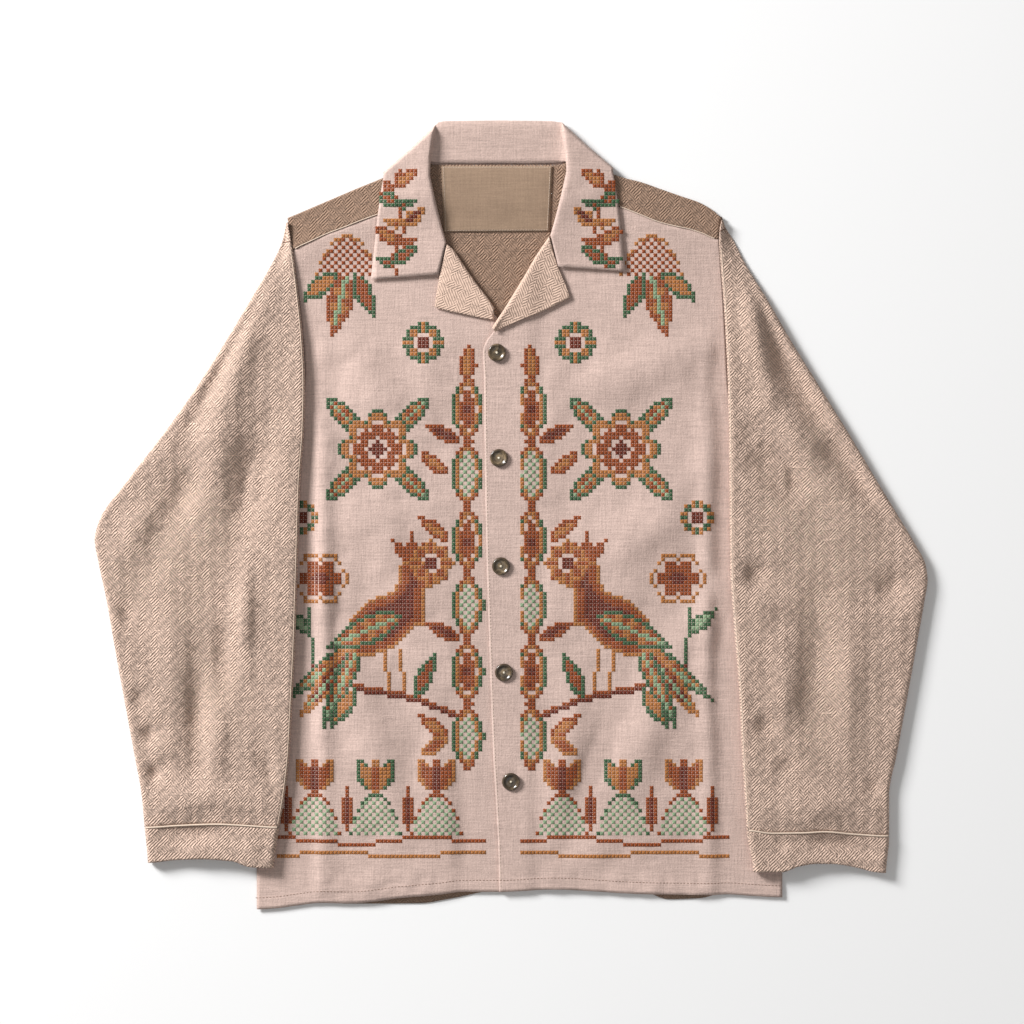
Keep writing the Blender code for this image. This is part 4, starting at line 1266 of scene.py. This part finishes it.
def cross_template():
    """One cross-stitch: two low strands, the second over the first."""
    settings = bpy.context.scene.shirt_stitching
    reach, half = 0.52 * settings.pitch, 0.5 * settings.strand
    bm = bmesh.new()
    for turn, base in ((math.pi / 4, 0.0), (-math.pi / 4, 0.30 * MM)):
        def shape(along, beside):
            top = 0.62 * MM * (1 - 0.75 * along * along) if abs(beside) < 0.5 else -0.25 * MM
            side = math.copysign(abs(beside) ** 0.8, beside) * (1 - 0.25 * along * along)
            return reach * 1.18 * along, half * side, base * (1 - along * along) + top

        bmesh.ops.rotate(bm, verts=strand(bm, shape), matrix=Matrix.Rotation(turn, 3, "Z"))
    return mesh_of(bm, "cross_stitch")


def bar_template(length, width, height):
    """One straight stitch, a low rounded bar along X."""
    def shape(along, beside):
        top = height * (1 - 0.8 * along * along) if abs(beside) < 0.5 else -0.2 * MM
        return 0.5 * length * along, 0.5 * width * beside, top

    bm = bmesh.new()
    strand(bm, shape)
    return mesh_of(bm, "bar_stitch")


def sew(name, spots, template, material):
    """One piece of many stitches: each spot is (place, Euler angles, its own colour or None)."""
    bm = bmesh.new()
    for where, _, _ in spots:
        bm.verts.new(where)
    points = mesh_of(bm, name)
    turns = points.attributes.new("turn", "FLOAT_VECTOR", "POINT").data
    turns.foreach_set("vector", [value for _, turn, _ in spots for value in turn])
    colours = [value for _, _, colour in spots if colour for value in (*colour, 1.0)]
    if colours:
        threads = points.attributes.new("thread", "FLOAT_COLOR", "POINT").data
        threads.foreach_set("color", colours)
    obj = finish_piece(points, name, [material])
    stitch = bpy.data.objects.new("stitch", template)
    bpy.context.scene.collection.objects.link(stitch)
    group = bpy.data.node_groups.new("set_stitches", "GeometryNodeTree")
    for way in ("INPUT", "OUTPUT"):
        group.interface.new_socket("Geometry", in_out=way, socket_type="NodeSocketGeometry")
    nodes = Nodes(group)
    start, end = nodes.add("NodeGroupInput"), nodes.add("NodeGroupOutput")
    info = nodes.add("GeometryNodeObjectInfo", Object=stitch)
    turn = nodes.add("GeometryNodeInputNamedAttribute", {"data_type": "FLOAT_VECTOR"}, Name="turn")
    spin = nodes.add("FunctionNodeEulerToRotation", Euler=turn.outputs["Attribute"])
    spread = nodes.add(
        "GeometryNodeInstanceOnPoints", Points=start.outputs["Geometry"],
        Instance=info.outputs["Geometry"], Rotation=spin.outputs["Rotation"],
    )
    real = nodes.add("GeometryNodeRealizeInstances", Geometry=spread.outputs["Instances"])
    skin = nodes.add(
        "GeometryNodeSetMaterial", Geometry=real.outputs["Geometry"], Material=material
    )
    nodes.feed(end, "Geometry", skin.outputs["Geometry"])
    obj.modifiers.new("set", "NODES").node_group = group
    apply_modifiers(obj)
    bpy.data.objects.remove(stitch, do_unlink=True)
    bpy.data.node_groups.remove(group)
    obj.data.shade_smooth()


def lie_on(normal, heading):
    """Euler angles that lay a stitch on a surface, turned to a heading in the plan."""
    tilt = Vector((0, 0, 1)).rotation_difference(normal)
    return (tilt @ Matrix.Rotation(heading, 3, "Z").to_quaternion()).to_euler()


def evenly(path, step):
    """Plan points at even steps along a path, each with its heading on the table."""
    found, left = [], 0.0
    for (x0, y0), (x1, y1) in zip(path, path[1:]):
        length = math.hypot(x1 - x0, y1 - y0)
        heading = math.atan2(-(y1 - y0), x1 - x0)
        at = left
        while at < length:
            found.append((mix(x0, x1, at / length), mix(y0, y1, at / length), heading))
            at += step
        left = at - length
    return found


def cord(name, path, radius, material, lift):
    """A thin round cord along points (across, down, height), raised by a share of its radius."""
    curve = bpy.data.curves.new(name, "CURVE")
    curve.dimensions = "3D"
    curve.bevel_depth = radius * MM
    curve.bevel_resolution = 2
    curve.use_fill_caps = True
    line = curve.splines.new("POLY")
    line.points.add(len(path) - 1)
    for point, (across, down, height) in zip(line.points, path):
        point.co = (*place(across, down, height + lift * radius), 1.0)
    draft = bpy.data.objects.new(name, curve)
    bpy.context.scene.collection.objects.link(draft)
    graph = bpy.context.evaluated_depsgraph_get()
    mesh = bpy.data.meshes.new_from_object(draft.evaluated_get(graph))
    bpy.data.objects.remove(draft, do_unlink=True)
    bpy.data.curves.remove(curve)
    mesh.materials.clear()
    mesh.name = name
    mesh.shade_smooth()
    finish_piece(mesh, name, [material])


# The cross-stitch chart: plan columns and rows of the linen's grid, each with its thread


def stroke(chart, points, thread):
    """A line of crosses through plan points."""
    for (c0, r0), (c1, r1) in zip(points, points[1:]):
        steps = max(abs(c1 - c0), abs(r1 - r0), 1)
        for i in range(int(steps) + 1):
            chart[round(mix(c0, c1, i / steps)), round(mix(r0, r1, i / steps))] = thread


def leaf(chart, base, tip, width, rim, fills, vein=None):
    """A pointed leaf with a rim, striped fill and an open or coloured vein."""
    run = math.hypot(tip[0] - base[0], tip[1] - base[1])
    ux, uy = (tip[0] - base[0]) / run, (tip[1] - base[1]) / run
    reach = int(run + width + 2)
    for c in range(int(min(base[0], tip[0])) - reach, int(max(base[0], tip[0])) + reach):
        for r in range(int(min(base[1], tip[1])) - reach, int(max(base[1], tip[1])) + reach):
            along = (c - base[0]) * ux + (r - base[1]) * uy
            beside = -(c - base[0]) * uy + (r - base[1]) * ux
            t = along / run
            if not 0 <= t <= 1:
                continue
            half = width * math.sin(math.pi * t**0.8) ** 0.8
            if abs(beside) > half:
                continue
            if abs(beside) > half - 1.0:
                chart[c, r] = rim
            elif vein is not None and abs(beside) < 0.5:
                chart[c, r] = vein
            else:
                chart[c, r] = fills[int(along // 2) % len(fills)]


def blossom(chart, centre, radius, petals, rings, turn=0.0):
    """A round flower: rings are (share of the petal's reach, thread or None for bare linen)."""
    cx, cy = centre
    for c in range(int(cx - radius - 1), int(cx + radius + 2)):
        for r in range(int(cy - radius - 1), int(cy + radius + 2)):
            x, y = c - cx, r - cy
            angle = math.atan2(y, x) + turn
            lobe = abs(math.cos(petals * angle / 2))
            reach = radius * (0.70 + 0.30 * lobe**0.7)
            share = math.hypot(x, y) / reach
            for limit, thread in rings:
                if share <= limit:
                    if thread:
                        chart[c, r] = thread
                    else:
                        chart.pop((c, r), None)
                    break


def rosette(chart, centre, size, threads):
    """A folk star of eight pointed petals about a dark heart."""
    cx, cy = centre
    rim, fill, heart = threads
    for step in range(8):
        angle = step * math.pi / 4
        ux, uy = math.cos(angle), math.sin(angle)
        leaf(chart, (cx + 2.4 * ux, cy + 2.4 * uy), (cx + size * ux, cy + size * uy), 1.9, rim, [fill])
    for c in range(-1, 2):
        for r in range(-1, 2):
            chart[round(cx) + c, round(cy) + r] = heart


def trellis(chart, left, right, top, bottom, rim, thread, slope):
    """A mound of open lattice under a stepped rim."""
    for c in range(left, right + 1):
        t = (c - left) / (right - left)
        crown = round(mix(bottom, top, math.sin(math.pi * t) ** slope))
        for r in range(crown, bottom + 1):
            if r - crown < 1:
                chart[c, r] = rim
            elif (c + r) % 2 == 0:
                chart[c, r] = thread
            else:
                chart.pop((c, r), None)


def shaded(chart, cells, threads):
    """Cells in rings from the outline inwards, a thread for each ring."""
    left, ring = set(cells), 0
    while left:
        edge = {
            (c, r) for c, r in left
            if not {(c + 1, r), (c - 1, r), (c, r + 1), (c, r - 1)} <= left
        }
        for cell in edge:
            chart[cell] = threads[min(ring, len(threads) - 1)]
        left -= edge
        ring += 1


def songbird(chart, at, facing):
    """A perched bird: tail plumes, shaded body, striped wing, crest and beak."""
    cx, cy = at

    def spot(x, y):
        return round(cx + facing * x), round(cy + y)

    for x, y, rim, fills in (
        (-25, 20, "green", ("rust", "tan")), (-22, 25, "tan", ("rust", "maroon")),
        (-16, 28, "green", ("rust", "tan")),
    ):
        leaf(chart, spot(-5, 4), spot(x, y), 2.7, rim, fills, "pale")
    cells = set()
    for c in range(-16, 18):
        for r in range(-20, 16):
            x, y = c * 0.82 - r * 0.57, c * 0.57 + r * 0.82
            body = (x / 11.0) ** 2 + (y / 6.8) ** 2 <= 1
            head = (c - 8.5) ** 2 + (r + 12.5) ** 2 <= 20
            neck = -12 <= r <= 0 and abs(c - mix(8.0, 5.0, (r + 12) / 12)) <= mix(3.4, 6.0, (r + 12) / 12)
            if body or head or neck:
                cells.add(spot(c, r))
    shaded(chart, cells, ("tan", "rust", "rust", "maroon"))
    leaf(chart, spot(5, -2), spot(-14, 6), 3.8, "green", ("tan", "rust"), "pale")
    stroke(chart, [spot(13, -13), spot(17, -12)], "maroon")
    stroke(chart, [spot(13, -12), spot(15, -11)], "tan")
    for x, y in ((3, -22), (8, -24), (13, -22)):
        leaf(chart, spot(8, -16), spot(x, y), 1.4, "rust", ["rust"])
    for c, r in ((10, -13), (9, -13), (10, -14), (9, -14)):
        chart.pop(spot(c, r), None)
    chart[spot(10, -13)] = "green"
    for x in (1, 5):
        stroke(chart, [spot(x, 7), spot(x + 1, 17)], "tan")


def tulip(chart, at, size, threads):
    """An upright bud with three pointed petals."""
    cx, cy = at
    rim, fill, heart = threads
    leaf(chart, (cx, cy), (cx - 0.55 * size, cy - size), 0.28 * size, rim, [fill])
    leaf(chart, (cx, cy), (cx + 0.55 * size, cy - size), 0.28 * size, rim, [fill])
    leaf(chart, (cx, cy + 1), (cx, cy - 1.05 * size), 0.26 * size, fill, [heart])


def draw_fronts(chart):
    """Birds on flowering boughs, star flowers above and a lattice border at the hem."""
    for side in (-1, 1):
        def at(across, row):
            return side * across, row

        # A star flower with four long leaves on each breast
        star = at(32, 54)
        for x, y in ((11, 11), (-11, 11), (11, -11), (-11, -11)):
            tip = (star[0] + 1.25 * x, star[1] + 1.25 * y)
            base = (star[0] + 0.5 * x, star[1] + 0.5 * y)
            leaf(chart, base, tip, 2.6, "green", ("rust", "tan"), "pale")
        blossom(chart, star, 10.5, 8, (
            (0.20, "maroon"), (0.32, None), (0.62, "rust"), (0.72, None), (0.92, "tan"), (1.0, "green"),
        ))

        # The bird and its bough
        bough = [at(10, 124), at(22, 119), at(38, 116), at(49, 110)]
        stroke(chart, bough, "rust")
        stroke(chart, [(c, r + 1) for c, r in bough], "maroon")
        songbird(chart, at(31, 100), -side)
        blossom(chart, at(47, 88), 7.5, 6, ((0.28, "maroon"), (0.72, "rust"), (0.86, None), (1.0, "tan")))
        stroke(chart, [at(49, 110), at(50, 96)], "green")
        leaf(chart, at(50, 102), at(57, 96), 2.0, "green", ["pale"])
        leaf(chart, at(22, 119), at(17, 108), 2.2, "green", ["rust"])
        leaf(chart, at(38, 117), at(44, 127), 2.4, "green", ["tan"])
        rosette(chart, at(18, 84), 6.4, ("tan", "rust", "maroon"))

        # The shoulder: a hanging lattice drop and a tulip
        trellis(chart, *sorted((side * 32, side * 48)), -2, 8, "tan", "rust", 0.8)
        leaf(chart, at(40, 8), at(44, 24), 3.4, "rust", ("tan", "rust"), "pale")
        leaf(chart, at(38, 8), at(33, 19), 2.6, "green", ["rust"])
        leaf(chart, at(43, 8), at(52, 15), 2.6, "green", ["tan"])

        # Small stars in the open linen
        rosette(chart, at(20, 26), 5.6, ("green", "tan", "maroon"))
        rosette(chart, at(52, 72), 4.6, ("tan", "green", "maroon"))

        # Two vines twine up beside the placket, their loops filled with lattice and buds by turns
        taken = set(chart)
        loop = TWINE_LOOP / math.pi
        for row in range(35, 139):
            reach = TWINE_REACH * abs(math.sin(row / loop))
            for way in (-1, 1):
                edge = TWINE_MIDDLE + way * reach
                chart[round(side * edge), row] = "green" if reach > 2.2 else "rust"
                chart[round(side * (edge - way)), row] = "tan" if reach > 1 else "rust"
            for across in range(round(TWINE_MIDDLE - reach) + 2, round(TWINE_MIDDLE + reach) - 1):
                if int(row / TWINE_LOOP) % 2 and (across + row) % 2:
                    chart[side * across, row] = "pale"
        for turn in range(2, 8):
            middle = TWINE_LOOP * (turn + 0.5)
            if turn % 2 == 0:
                bud = at(TWINE_MIDDLE, middle + 5.5), at(TWINE_MIDDLE, middle - 5.5)
                leaf(chart, *bud, 2.1, "rust", ("maroon", "rust"))
            for out, rise, reach, drop, rim, fill in (
                (5.2, 0, 7.5, -6, "rust", "tan"), (5.2, 0, 7.5, 5, "tan", "rust"),
                (2.0, 8.6, 9.0, -13, "rust", "maroon"),
            ):
                foot = at(TWINE_MIDDLE + out, middle - rise)
                tip = (foot[0] + side * reach, middle + drop)
                cells = {
                    (round(mix(foot[0], tip[0], share)), round(mix(foot[1], tip[1], share)) + off)
                    for share in (0.4, 0.7, 1.0) for off in (-2, 0, 2)
                }
                if not cells & taken:
                    leaf(chart, foot, tip, 1.9, rim, [fill])
        leaf(chart, at(TWINE_MIDDLE, 36), at(TWINE_MIDDLE - 0.5, 26), 2.2, "rust", ["tan"])

        # The border above the hem
        for across, rim, threads in (
            (10, "rust", ("tan", "rust", "maroon")), (26, "green", ("green", "tan", "rust")),
            (42, "rust", ("tan", "rust", "maroon")),
        ):
            ends = sorted((side * across, side * (across + 13)))
            trellis(chart, *ends, 145, 155, rim, "pale", 0.7)
            tulip(chart, at(across + 6.5, 144), 9, threads)
            leaf(chart, at(across + 14, 154), at(across + 14, 143), 1.7, "rust", ["maroon"])
        stroke(chart, [at(4, 157), at(22, 156), at(36, 158), at(60, 156)], "rust")
        stroke(chart, [at(4, 160), at(26, 161), at(44, 160), at(60, 161)], "tan")


def draw_collar(chart):
    """A leafy vine down the outer half of each collar leaf."""
    for side in (-1, 1):
        def stem(row):
            return side * (26.5 + 1.2 * math.sin(row / 3.0)), row

        stroke(chart, [stem(row) for row in range(-19, 10)], "rust")
        for index, row in enumerate(range(-15, 9, 5)):
            base = stem(row)
            out = 1 if index % 2 else -1
            rim, fill = (("rust", "tan"), ("green", "rust"), ("tan", "maroon"))[index % 3]
            leaf(chart, base, (base[0] + side * out * 6.0, row - 4), 1.9, rim, [fill])
            leaf(chart, base, (base[0] - side * out * 5.0, row - 1), 1.5, rim, ["rust"])


class SHIRT_OT_embroidery(Operator):
    """Works the cross-stitch over the linen of the fronts and collar"""

    bl_idname = "shirt.embroidery"
    bl_label = "Cross-stitch"

    def execute(self, context):
        settings = context.scene.shirt_stitching
        pitch = settings.pitch / MM
        tops = cloth_tops()
        template = cross_template()
        stranded = thread_material("stranded_thread")
        noise.seed_set(STITCH_SEED)
        batches = {}
        for draw, grounds in (
            (draw_fronts, ("front_right_cloth", "front_left_cloth")), (draw_collar, ("collar_cloth",)),
        ):
            chart = {}
            draw(chart)
            for (column, row), thread in sorted(chart.items()):
                across, down = CHART_MIDDLE + column * pitch, CHART_TOP + row * pitch
                placket = over_front_edge(down) - OVER_EDGE_MARGIN < across < UNDER_FRONT_HIDDEN
                if draw is draw_fronts and placket:
                    continue
                name, hit, normal = land(tops, across, down)
                if name not in grounds or normal.z < STEEPEST_STITCH:
                    continue
                wobble = noise.noise_vector(Vector((column * 0.7, row * 0.7, 3.0)))
                shade = 1 + STITCH_SHADE * wobble.z
                colour = [channel * shade for channel in getattr(settings, thread)]
                turn = lie_on(normal, STITCH_TURN * wobble.x)
                slot = "thread_green" if thread in ("green", "pale") else "thread_rust"
                batches.setdefault((name, slot), []).append((hit, turn, colour))
        for (name, slot), spots in batches.items():
            piece = f"{name.replace('_cloth', '')}_{slot.replace('thread', 'cross')}"
            sew(piece, spots, template, stranded)
        return {"FINISHED"}


class SHIRT_OT_topstitch(Operator):
    """Runs the dotted topstitching, the piping and the seam edges"""

    bl_idname = "shirt.topstitch"
    bl_label = "Topstitch"

    def execute(self, context):
        settings = context.scene.shirt_stitching
        tops = cloth_tops()
        sewn = thread_material("sewing_thread_spun", settings.seam)
        matched = thread_material("sewing_thread_pale", settings.seam_pale)

        def run(name, path, step, allowed, thread):
            spots = []
            for across, down, heading in evenly(path, step):
                found, hit, normal = land(tops, across, down)
                if found in allowed:
                    spots.append((hit, lie_on(normal, heading), None))
            stitch = bar_template(settings.seam_stitch, STITCH_WIDTH * MM, STITCH_HEIGHT * MM)
            sew(name, spots, stitch, thread)

        def ridge(name, points, radius, material, lift, probe=0.0, allowed=None):
            """A cord along plan points, as high as the cloth a probe's length above each of them."""
            path = []
            for across, down in points:
                found, hit, _ = land(tops, across, down - probe)
                if hit and (allowed is None or found in allowed):
                    path.append((across, down, hit.z / MM))
            cord(name, path, radius, material, lift)

        fronts = ("front_right_cloth", "front_left_cloth")
        first, last = FRONT_HEM[0][0], FRONT_HEM[-1][0]
        hem = [(x, front_hem(x) - HEM_STITCH_IN) for x in range(first, last + 1, 4)]
        run("hem_topstitch", hem, STITCH_STEP, fronts, sewn)
        edge = [(over_front_edge(y) + PLACKET_STITCH_IN, y) for y in range(*PLACKET_RUN, 6)]
        run("placket_topstitch", edge, STITCH_STEP, fronts, matched)
        corners = [Vector(corner) for corner in LABEL_CORNERS]
        centre = sum(corners, Vector((0, 0))) / 4
        inset = [
            tuple(corner + (centre - corner).normalized() * LABEL_STITCH_IN) for corner in corners
        ]
        run("label_topstitch", inset + inset[:1], LABEL_STITCH_STEP, ("neck_label_cloth",), matched)

        # The cuffs' cord is real piping. On the forward seams and the sleeves' inner folds the pale cord is
        # a painted highlight on the raised edge
        pale = cloth_of("piping")
        for name, side, table, piping, seam_run, head in (
            ("right", -1, RIGHT_SLEEVE, RIGHT_PIPING, (294, 384), (281.5, 242.6, 291.8, 242.0)),
            ("left", 1, LEFT_SLEEVE, LEFT_PIPING, (618, 716), (718.2, 232.2, 727.6, 228.0)),
        ):
            # A raised lip along the forward seam. Its paler colour is a painted highlight
            points = [(x, forward_seam(x)) for x in range(*seam_run, 2)]
            on_body = ("back_cloth", *fronts)
            ridge(f"forward_seam_{name}", points, 0.5, pale, 0.1, allowed=on_body)
            points = [
                (mix(head[0], head[2], share), mix(head[1], head[3], share))
                for share in shares((1.0, 8))
            ]
            ridge(f"sleeve_head_{name}", points, 0.45, sewn, 0.1)
            inner_at, outer_at = through(table), through(table, 2)
            seam = through(piping)
            last = piping[0][1]
            start, stop = outer_at(last) - side * 1.6, inner_at(last) + side * 1.6
            acrosses = [mix(start, stop, share) for share in shares((1.0, 60))]
            points = [(x, seam(x) + 0.2) for x in acrosses]
            ridge(f"cuff_{name}_piping", points, 0.9, pale, 0.4, probe=1.4)
            # A pale cord along each sleeve's inner fold: painted highlight on the fold's edge
            downs = [mix(250, last - 4, share) for share in shares((1.0, 150))]
            points = [(inner_at(down) + side * 1.5, down) for down in downs]
            ridge(f"sleeve_{name}_edge", points, 0.35, pale, 0.2)
        return {"FINISHED"}


class SHIRT_OT_stage(Operator):
    """Sets the pale table, the soft light and the camera straight above"""

    bl_idname = "shirt.stage"
    bl_label = "Stage"

    def execute(self, context):
        settings = context.scene.shirt_stage
        scene = context.scene
        scene.view_settings.view_transform = "Standard"
        bm = bmesh.new()
        bmesh.ops.create_grid(bm, x_segments=2, y_segments=2, size=4.0)
        bmesh.ops.translate(bm, verts=bm.verts, vec=(0, 0, -0.0002))
        mesh = mesh_of(bm, "table")
        material, nodes, shader = new_material("table")
        nodes.feed(shader, "Base Color", (0.86, 0.86, 0.86, 1.0))
        nodes.feed(shader, "Roughness", 0.9)
        mesh.materials.append(material)
        table = bpy.data.objects.new("table", mesh)
        scene.collection.objects.link(table)
        world = bpy.data.worlds.new("studio")
        world.use_nodes = True
        back = world.node_tree.nodes["Background"]
        back.inputs["Color"].default_value = (1.0, 0.985, 0.97, 1.0)
        back.inputs["Strength"].default_value = 0.27
        scene.world = world
        for name, place_at, size, power in (
            ("key", (-3.6, 2.5, 2.2), 1.5, settings.key_light),
            ("fill", (0.6, -1.2, 2.8), 2.4, 0.028 * settings.key_light),
        ):
            light = bpy.data.lights.new(name, "AREA")
            light.size = size
            light.energy = power
            lamp = bpy.data.objects.new(name, light)
            lamp.location = place_at
            lamp.rotation_euler = (-Vector(place_at)).to_track_quat("-Z", "Y").to_euler()
            scene.collection.objects.link(lamp)
        camera = bpy.data.cameras.new("camera")
        camera.sensor_width = 36.0
        camera.lens = 36.0 * settings.camera_height / settings.view_width
        camera.clip_end = 50.0
        holder = bpy.data.objects.new("camera", camera)
        holder.location = (*place(512.0, 512.0, 0.0)[:2], settings.camera_height)
        scene.collection.objects.link(holder)
        scene.camera = holder
        return {"FINISHED"}


class SHIRT_PT_panel(Panel):
    """Lists the shirt's pieces and their settings"""

    bl_idname = "SHIRT_PT_panel"
    bl_label = "Shirt"
    bl_space_type = "VIEW_3D"
    bl_region_type = "UI"
    bl_category = "Shirt"

    def draw(self, context):
        layout = self.layout
        for group in PROPERTY_GROUPS:
            box = layout.box()
            settings = getattr(context.scene, group)
            for name in settings.bl_rna.properties.keys():
                if name not in ("rna_type", "name"):
                    box.prop(settings, name)
        for operator in OPERATORS:
            layout.operator(operator.bl_idname)


OPERATORS = (
    SHIRT_OT_stage,
    SHIRT_OT_back,
    SHIRT_OT_fronts,
    SHIRT_OT_sleeves,
    SHIRT_OT_cuffs,
    SHIRT_OT_collar,
    SHIRT_OT_lapels,
    SHIRT_OT_label,
    SHIRT_OT_buttons,
    SHIRT_OT_embroidery,
    SHIRT_OT_topstitch,
)
PROPERTY_GROUPS = {
    "shirt_cloth": ShirtCloth,
    "shirt_stitching": ShirtStitching,
    "shirt_buttons": ShirtButtons,
    "shirt_stage": ShirtStage,
}
CLASSES = (*PROPERTY_GROUPS.values(), *OPERATORS, SHIRT_PT_panel)


def register():
    for cls in CLASSES:
        bpy.utils.register_class(cls)
    for name, group in PROPERTY_GROUPS.items():
        setattr(bpy.types.Scene, name, PointerProperty(type=group))


def unregister():
    for name in PROPERTY_GROUPS:
        delattr(bpy.types.Scene, name)
    for cls in reversed(CLASSES):
        bpy.utils.unregister_class(cls)


def main():
    register()
    bpy.ops.shirt.stage()
    bpy.ops.shirt.back()
    bpy.ops.shirt.fronts()
    bpy.ops.shirt.sleeves()
    bpy.ops.shirt.cuffs()
    bpy.ops.shirt.collar()
    bpy.ops.shirt.lapels()
    bpy.ops.shirt.label()
    bpy.ops.shirt.buttons()
    bpy.ops.shirt.embroidery()
    bpy.ops.shirt.topstitch()


if __name__ == "__main__":
    main()
